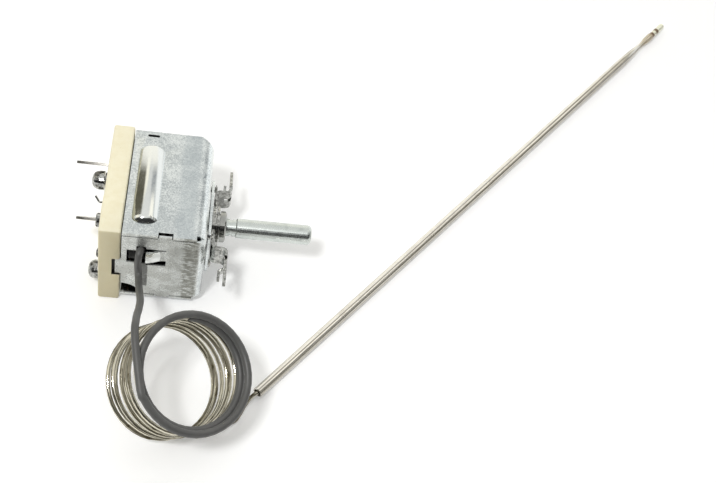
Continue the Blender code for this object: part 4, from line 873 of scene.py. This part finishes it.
@dataclass
class Capillary:
    """Capillary from the case's window through its coil to the probe, with the sleeve on its first part."""

    diameter: float = 1.2 * MM
    sleeve_diameter: float = 2.1 * MM
    sleeve_bore: float = 1.35 * MM
    coil_centre: Vector = field(default_factory=lambda: Vector((26.6, -59.1, 26.9)) * MM)
    coil_lean: float = 33.6
    coil_bearing: float = -36.8
    entry_radius: float = 16.7 * MM
    outer_radius: float = 16.2 * MM
    inner_radius: float = 15.1 * MM
    bare_radius: float = 15.55 * MM
    first_turn: float = 1.0 * MM
    second_turn: float = -0.9 * MM
    bare_start: float = -3.2 * MM
    last_turn: float = -20.2 * MM
    sleeve_turns: float = 1.77
    turns: float = 8.30
    points_a_turn: int = 40
    sinking_from: float = 0.5
    narrowing_from: float = 0.45
    loosening: float = 0.25
    grouping: float = 0.7 * MM
    group_turns: float = 3.0
    widest_gap: float = 5.5
    sway: tuple[Point, ...] = ((0.12 * MM, 5.1, 0.0), (0.10 * MM, 2.3, 1.0))
    entry: float = 0.06
    spacing: float = 0.9 * MM

    lead_route: tuple[Point, ...] = (
        (0.0093, -0.0153, 0.0213),
        (0.0091, -0.0165, 0.0222),
        (0.0090, -0.0175, 0.0233),
        (0.0089, -0.0184, 0.0245),
        (0.0088, -0.0189, 0.0250),
        (0.0087, -0.0195, 0.0252),
        (0.0086, -0.0202, 0.0250),
        (0.0085, -0.0206, 0.0245),
        (0.0085, -0.0208, 0.0238),
        (0.0084, -0.0209, 0.0223),
        (0.0085, -0.0211, 0.0202),
        (0.0087, -0.0218, 0.0187),
        (0.0090, -0.0236, 0.0181),
        (0.0094, -0.0270, 0.0192),
        (0.0100, -0.0320, 0.0225),
        (0.0106, -0.0380, 0.0275),
        (0.0107, -0.0440, 0.0322),
        (0.0105, -0.0498, 0.0359),
        (0.0108, -0.0558, 0.0360),
    )
    probe_route: tuple[Point, ...] = (
        (0.0294, -0.0605, 0.00065),
        (0.0330, -0.0597, 0.00065),
        (0.0368, -0.0588, 0.00065),
        (0.0396, -0.0572, 0.00065),
        (0.0410, -0.0548, 0.00070),
        (0.0419, -0.0526, 0.00080),
        (0.0431, -0.0504, 0.00100),
        (0.0439, -0.0494, 0.00120),
        (0.0447, -0.0486, 0.00140),
        (0.0454, -0.0481, 0.00160),
        (0.0465, -0.0469, 0.00160),
    )

    def coil_point(self, turn: float) -> Vector:
        """Point of the coil's centreline.

        Args:
            turn: Turns from the coil's leftmost point.

        Returns:
            The point.
        """
        lean = radians(self.coil_lean)
        bearing = radians(self.coil_bearing)
        axis = Vector((sin(lean) * cos(bearing), sin(lean) * sin(bearing), cos(lean)))
        left = Vector((-0.894, -0.223, 0.388))
        left = (left - axis * left.dot(axis)).normalized()
        ahead = axis.cross(left)
        angle = 2 * pi * turn
        drop, radius = self.profile(turn)
        return self.coil_centre + axis * drop + (left * cos(angle) + ahead * sin(angle)) * radius

    def profile(self, turn: float) -> tuple[float, float]:
        """Place along the coil's axis, and radius.

        Args:
            turn: Turns from the coil's leftmost point.

        Returns:
            The place and the radius.
        """
        sleeved = self.sleeve_turns + self.loosening
        if turn < 1.0:
            sunk = max(0.0, turn - self.sinking_from) / (1.0 - self.sinking_from)
            narrowed = max(0.0, turn - self.narrowing_from) / (1.0 - self.narrowing_from)
            radius = self.entry_radius + (self.outer_radius - self.entry_radius) * min(1.0, turn * 3)
            radius += (self.inner_radius - self.outer_radius) * narrowed
            return self.first_turn + (self.second_turn - self.first_turn) * sunk, radius
        if turn < sleeved:
            share = (turn - 1.0) / (sleeved - 1.0)
            return self.second_turn + (self.bare_start - self.second_turn) * share ** 2, self.inner_radius
        share = (turn - sleeved) / (self.turns - sleeved)
        grouping = self.grouping * min(1.0, share * 6, (1.0 - share) * 5)
        drop = self.bare_start + (self.last_turn - self.bare_start) * share
        drop -= grouping * sin(2 * pi * (turn - self.widest_gap) / self.group_turns)
        radius = self.inner_radius + (self.bare_radius - self.inner_radius) * min(1.0, share * 4)
        return drop, radius + sum(size * sin(turn * rate + phase) for size, rate, phase in self.sway)

    def centreline(self) -> tuple[list[Vector], int]:
        """Whole centreline of the capillary.

        Returns:
            The points, and how many of them the sleeve covers.
        """
        wound = self.turns - self.entry
        steps = ceil(wound * self.points_a_turn)
        coil = [self.coil_point(self.entry + wound * step / steps) for step in range(steps + 1)]
        lead = [Vector(point) for point in self.lead_route]
        probe = [Vector(point) for point in self.probe_route]
        first = smooth_route([*lead, *coil[:3]], self.spacing)[:-1]
        last = smooth_route([*coil[-3:], *probe], self.spacing)[1:]
        for point in last:
            point.z = max(point.z, self.diameter / 2)
        line = [*first, *coil[2:-3], *last]
        covered = len(first) + ceil((self.sleeve_turns - self.entry) * self.points_a_turn) - 2
        return line, covered

    def build(self, probe: str) -> None:
        """Args:
            probe: CAD node of the probe on its far end; not used.
        """
        line, covered = self.centreline()
        # The capillary's dark lengthwise streaks are drawing marks and painted reflection of the dark
        # surroundings that the wire mirrors.
        metal = WorkedMetal(
            "drawn_capillary", (0.72, 0.685, 0.565), 0.18, Grain.ALONG_CORD, (0.10, 0.085, 0.05),
            depth=0.001 * MM,
        ).build()
        capillary = tube_curve("capillary", line, self.diameter, 5, True)
        put(capillary, metal, Body.HOUSING)
        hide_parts("capillary_lead", "capillary_coil", "probe_lead")
        sleeve = self.build_sleeve(line[:covered])
        length_of(line)
        log.info("capillary %.3f m, sleeve %.3f m", length_of(line), length_of(line[:covered]))

    def build_sleeve(self, line: Sequence[Vector]) -> bpy.types.Object:
        """Make the sleeve, a tube with a wall round the capillary's first part.

        Args:
            line: Points of the centreline that it covers.

        Returns:
            The sleeve.
        """
        curve = tube_curve("sleeve_line", line, self.sleeve_diameter, 6, False)
        bpy.context.view_layer.update()
        mesh = bpy.data.meshes.new_from_object(curve.evaluated_get(bpy.context.evaluated_depsgraph_get()))
        bpy.data.objects.remove(curve)
        bm = bmesh.new()
        bm.from_mesh(mesh)
        bpy.data.meshes.remove(mesh)
        bmesh.ops.remove_doubles(bm, verts=bm.verts, dist=1e-7)
        bmesh.ops.recalc_face_normals(bm, faces=bm.faces)
        bmesh.ops.solidify(bm, geom=bm.faces[:], thickness=(self.sleeve_diameter - self.sleeve_bore) / 2)
        sleeve = piece_from("capillary_sleeve", bm)
        sleeve.data.shade_smooth()
        sleeve.data.set_sharp_from_angle(angle=radians(50))
        finish = CoatedSleeve(length_of(line)).build()
        return put(sleeve, finish, Body.HOUSING)


@dataclass
class Probe:
    """Probe of stainless tube, pinched and welded at its tip."""

    node: str = "probe_tube"
    start: Point = (0.0456, -0.0480, 0.0016)
    bearing: float = 50.28
    tint_from: float = 0.2205
    tip_from: float = 0.2310

    def build(self) -> None:
        """Dress the probe."""
        finish = HeatTintedProbe(self.start, self.bearing, self.tint_from, self.tip_from)
        dress([self.node], finish.build())


@dataclass
class Housing:
    """Folded case, moulded base and the plates on the end wall."""

    sheet_round: float = 0.18 * MM
    plate_round: float = 0.15 * MM
    moulded_round: float = 0.25 * MM

    def build(self) -> None:
        """Round the edges of the outer pieces and dress them."""
        drawn = ZincSheet("drawn_zinc_sheet").build(CaseMarksAndPaintedShade())
        zinc = ZincSheet().build()
        # Painted shade: a darker copy of the zinc for the clip, washer, rivets and screw, standing in for
        # the shaded floor they mirror.
        bright = ZincSheet(
            "bright_zinc", light=(0.55, 0.555, 0.53), dark=(0.16, 0.16, 0.148), roughness=0.14,
            crystal=0.8 * MM, cloud=2.2 * MM, wave=2.0 * MM, wave_height=0.014 * MM,
        ).build()
        # Painted shade: the pieces within the case get a near-black steel, for the shade they sit in.
        shade_dark_inner = ZincSheet("shade_darkened_inner_steel", (0.14, 0.14, 0.135), (0.08, 0.08, 0.078), 0.40).build()
        cream = MouldedPlastic().build()
        put(rounded_copy("steel_case", self.sheet_round), drawn, Body.HOUSING)
        put(rounded_copy("bearing_plate", self.plate_round), zinc, Body.HOUSING)
        put(rounded_copy("insulating_base", self.moulded_round), cream, Body.HOUSING)
        put(rounded_copy("mounting_clip", self.plate_round), bright, Body.HOUSING)
        put(rounded_copy("spacer_washer", self.plate_round / 2), bright, Body.HOUSING)
        rivets = [f"plate_rivet_{number}" for number in range(1, 5)]
        dress([*rivets, "upper_rivet", "lower_rivet", "calibration_screw", "tab_washer"], bright)
        dress(["guide_bridge", "bridge_rivet_front", "bridge_rivet_back"], shade_dark_inner)


@dataclass
class Terminals:
    """Tab terminals with broken edges."""

    edge: float = 0.12 * MM

    def build(self) -> None:
        """Round the tabs' edges and dress them."""
        tinned = WorkedMetal(
            "tinned_brass", (0.42, 0.405, 0.37), 0.28, Grain.ALONG_X, (0.22, 0.21, 0.19),
        ).build()
        for node in ("upper_terminal", "lower_terminal"):
            put(rounded_copy(node, self.edge), tinned, Body.HOUSING)
        dress(["blade_spacer"], tinned)


@dataclass
class Mechanism:
    """Spindle, bushing, diaphragm and contacts."""

    def build(self) -> None:
        """Dress the moving pieces and what holds them."""
        steel = (0.42, 0.425, 0.405)
        looks: tuple[tuple[WorkedMetal | ZincSheet | FiredCeramic, tuple[str, ...]], ...] = (
            (WorkedMetal("turned_steel", steel, 0.16, Grain.ROUND_X, (0.15, 0.15, 0.14)),
             ("spindle_bushing", "stop_pin")),
            (WorkedMetal("spindle_steel", (0.69, 0.73, 0.705), 0.30, Grain.NONE, (0.27, 0.30, 0.28),
                         line=0.30 * MM, depth=0.016 * MM),
             ("spindle",)),
            (ZincSheet("carrier_zinc", (0.80, 0.81, 0.81), (0.62, 0.63, 0.64), 0.24),
             ("stop_disc", "diaphragm_carrier")),
            (WorkedMetal("capsule_steel", (0.20, 0.195, 0.185), 0.30, Grain.NONE, (0.12, 0.115, 0.11)),
             ("diaphragm_capsule",)),
            (WorkedMetal("stub_metal", (0.50, 0.47, 0.40), 0.20, Grain.NONE, (0.26, 0.24, 0.19)),
             ("capillary_stub",)),
            (WorkedMetal("spring_bronze", (0.45, 0.30, 0.17), 0.30, Grain.NONE, (0.26, 0.16, 0.09)),
             ("snap_blade",)),
            (WorkedMetal("contact_silver", (0.85, 0.84, 0.82), 0.25, Grain.NONE),
             ("moving_contact", "fixed_contact")),
            (FiredCeramic(), ("plunger_pin",)),
        )
        for finish, nodes in looks:
            dress(nodes, finish.build())


# What bare metal shows of the studio, by direction: first a brighter ceiling, then the lit panel and the dim
# gap on the left, the panels behind and on the right with the dark stands between them, and the dark front.
# A later zone covers an earlier one.
SKY_ZONES = (
    Zone((1.22, 1.22, 1.20), (Edge(Axis.Z, 0.50, 0.90),)),
    Zone((1.65, 1.58, 1.38), (
        Edge(Axis.X, -0.04, -0.20), Edge(Axis.Z, 0.38, 0.52), Edge(Axis.Z, 0.82, 0.72),
    )),
    Zone((0.16, 0.15, 0.11), (
        Edge(Axis.X, -0.30, -0.44), Edge(Axis.Z, 0.82, 0.76),
        Edge(Axis.Y, 0.30, 0.45), Edge(Axis.Y, 0.84, 0.76),
    )),
    Zone((0.50, 0.53, 0.56), (
        Edge(Axis.X, 0.12, 0.35), Edge(Axis.X, 0.62, 0.50), Edge(Axis.Y, 0.56, 0.62),
        Edge(Axis.Z, 0.38, 0.52), Edge(Axis.Z, 0.82, 0.72),
    )),
    Zone((1.75, 1.70, 1.56), (
        Edge(Axis.X, 0.34, 0.44), Edge(Axis.Y, 0.10, 0.22),
        Edge(Axis.Y, 0.60, 0.54), Edge(Axis.Z, 0.50, 0.58),
    )),
    Zone((1.60, 1.57, 1.46), (Edge(Axis.Y, 0.70, 0.76), Edge(Axis.Z, 0.70, 0.62))),
    Zone((1.55, 1.57, 1.57), (
        Edge(Axis.X, 0.12, 0.35), Edge(Axis.Y, 0.30, 0.45), Edge(Axis.Z, 0.50, 0.36),
    )),
    Zone((0.45, 0.43, 0.40), (
        Edge(Axis.X, 0.12, 0.35), Edge(Axis.Y, 0.45, 0.30),
        Edge(Axis.Z, 0.66, 0.70), Edge(Axis.Z, 0.82, 0.78),
    )),
    Zone((0.30, 0.27, 0.22), (
        Edge(Axis.X, 0.70, 0.76), Edge(Axis.Y, 0.40, 0.34),
        Edge(Axis.Z, 0.38, 0.42), Edge(Axis.Z, 0.54, 0.50),
    )),
    Zone((0.20, 0.19, 0.17), (
        Edge(Axis.X, 0.12, 0.35), Edge(Axis.Y, 0.45, 0.30),
        Edge(Axis.Z, 0.02, 0.06), Edge(Axis.Z, 0.32, 0.24),
    )),
    Zone((0.05, 0.05, 0.05), (Edge(Axis.Y, -0.14, -0.42), Edge(Axis.Z, 0.90, 0.78))),
)


@dataclass
class Studio:
    """Camera, floor, lamp and surroundings."""

    target: Vector = field(default_factory=lambda: Vector((75.6, 12.5, 0.0)) * MM)
    distance: float = 401.2 * MM
    elevation: float = 50.16
    azimuth: float = -11.97
    roll: float = 14.77
    focal_pixels: float = 1251.0
    picture_width: float = 716.0
    sensor: float = 36.0
    floor_half: float = 2.5
    floor_colour: Colour = (0.90, 0.90, 0.90)
    floor_lift: float = 0.20
    sky_colour: Colour = (0.90, 0.94, 0.95)
    sky_strength: float = 0.72
    lamp_place: Point = (-0.27, -0.49, 0.97)
    lamp_size: float = 0.16
    lamp_watts: float = 5.8

    def build_camera(self) -> None:
        """Place the camera where the photograph was taken from."""
        elevation = radians(self.elevation)
        azimuth = radians(self.azimuth)
        roll = radians(self.roll)
        back = Vector((sin(azimuth) * cos(elevation), -cos(azimuth) * cos(elevation), sin(elevation)))
        level = Vector((0.0, 0.0, 1.0)).cross(back).normalized()
        upright = back.cross(level)
        right = level * cos(roll) + upright * sin(roll)
        up = upright * cos(roll) - level * sin(roll)
        data = bpy.data.cameras.new("camera")
        data.sensor_fit = "HORIZONTAL"
        data.sensor_width = self.sensor
        data.lens = self.focal_pixels * self.sensor / self.picture_width
        data.clip_start = 0.01
        data.clip_end = 20.0
        camera = bpy.data.objects.new("camera", data)
        place = Matrix((right, up, back)).transposed().to_4x4()
        place.translation = self.target + back * self.distance
        camera.matrix_world = place
        bpy.context.scene.collection.objects.link(camera)
        bpy.context.scene.camera = camera

    def build_floor(self) -> None:
        """Lay a plain pale floor that keeps the object's shadow."""
        bm = bmesh.new()
        bmesh.ops.create_grid(bm, x_segments=1, y_segments=1, size=self.floor_half)
        floor = piece_from("floor", bm)
        recipe = Recipe("pale_floor")
        paths = recipe.node("ShaderNodeLightPath").outputs
        seen = Field(recipe, paths["Is Camera Ray"])
        for ray in ("Is Glossy Ray", "Is Transmission Ray"):
            seen = recipe.math("MAXIMUM", seen, Field(recipe, paths[ray]))
        lift = recipe.node("ShaderNodeEmission", None, {
            "Color": (1.0, 1.0, 1.0), "Strength": seen * self.floor_lift,
        })
        both = recipe.node("ShaderNodeAddShader", None, {
            0: recipe.shader.outputs[0], 1: lift.outputs[0],
        })
        recipe.tree.links.new(both.outputs[0], recipe.output.inputs["Surface"])
        floor.data.materials.append(recipe.finish(Base_Color=self.floor_colour, Roughness=0.45))

    def build_lamp(self) -> None:
        """Hang one soft square lamp high at the front left, facing the object."""
        data = bpy.data.lights.new("key", "AREA")
        data.size = self.lamp_size
        data.energy = self.lamp_watts
        data.color = (1.0, 1.0, 1.0)
        lamp = bpy.data.objects.new("key", data)
        lamp.location = self.lamp_place
        aim = self.target - Vector(self.lamp_place)
        lamp.rotation_euler = aim.to_track_quat("-Z", "Y").to_euler()
        bpy.context.scene.collection.objects.link(lamp)

    def build_surroundings(self) -> None:
        """Surround the object with a pale studio that has the dim and bright parts its metal shows."""
        sky = Sky("studio")
        place = sky.node("ShaderNodeTexCoord").outputs["Generated"]
        colour: Any = self.sky_colour
        for zone in SKY_ZONES:
            colour = sky.paint(colour, zone, place)
        sky.join(sky.shader.inputs["Color"], colour)
        sky.join(sky.shader.inputs["Strength"], self.sky_strength)

    def build(self) -> None:
        """Make the floor, the lamp and the surroundings."""
        self.build_floor()
        self.build_lamp()
        self.build_surroundings()
        bpy.context.scene.view_settings.view_transform = "Standard"


def main() -> None:
    """Build the camera, the capillary, the other pieces and the studio, in order."""
    logging.basicConfig(level=logging.INFO, format="%(name)s: %(message)s")
    studio = Studio()
    studio.build_camera()
    Capillary().build("probe_tube")
    Probe().build()
    Housing().build()
    Terminals().build()
    Mechanism().build()
    studio.build()


if __name__ == "__main__":
    main()
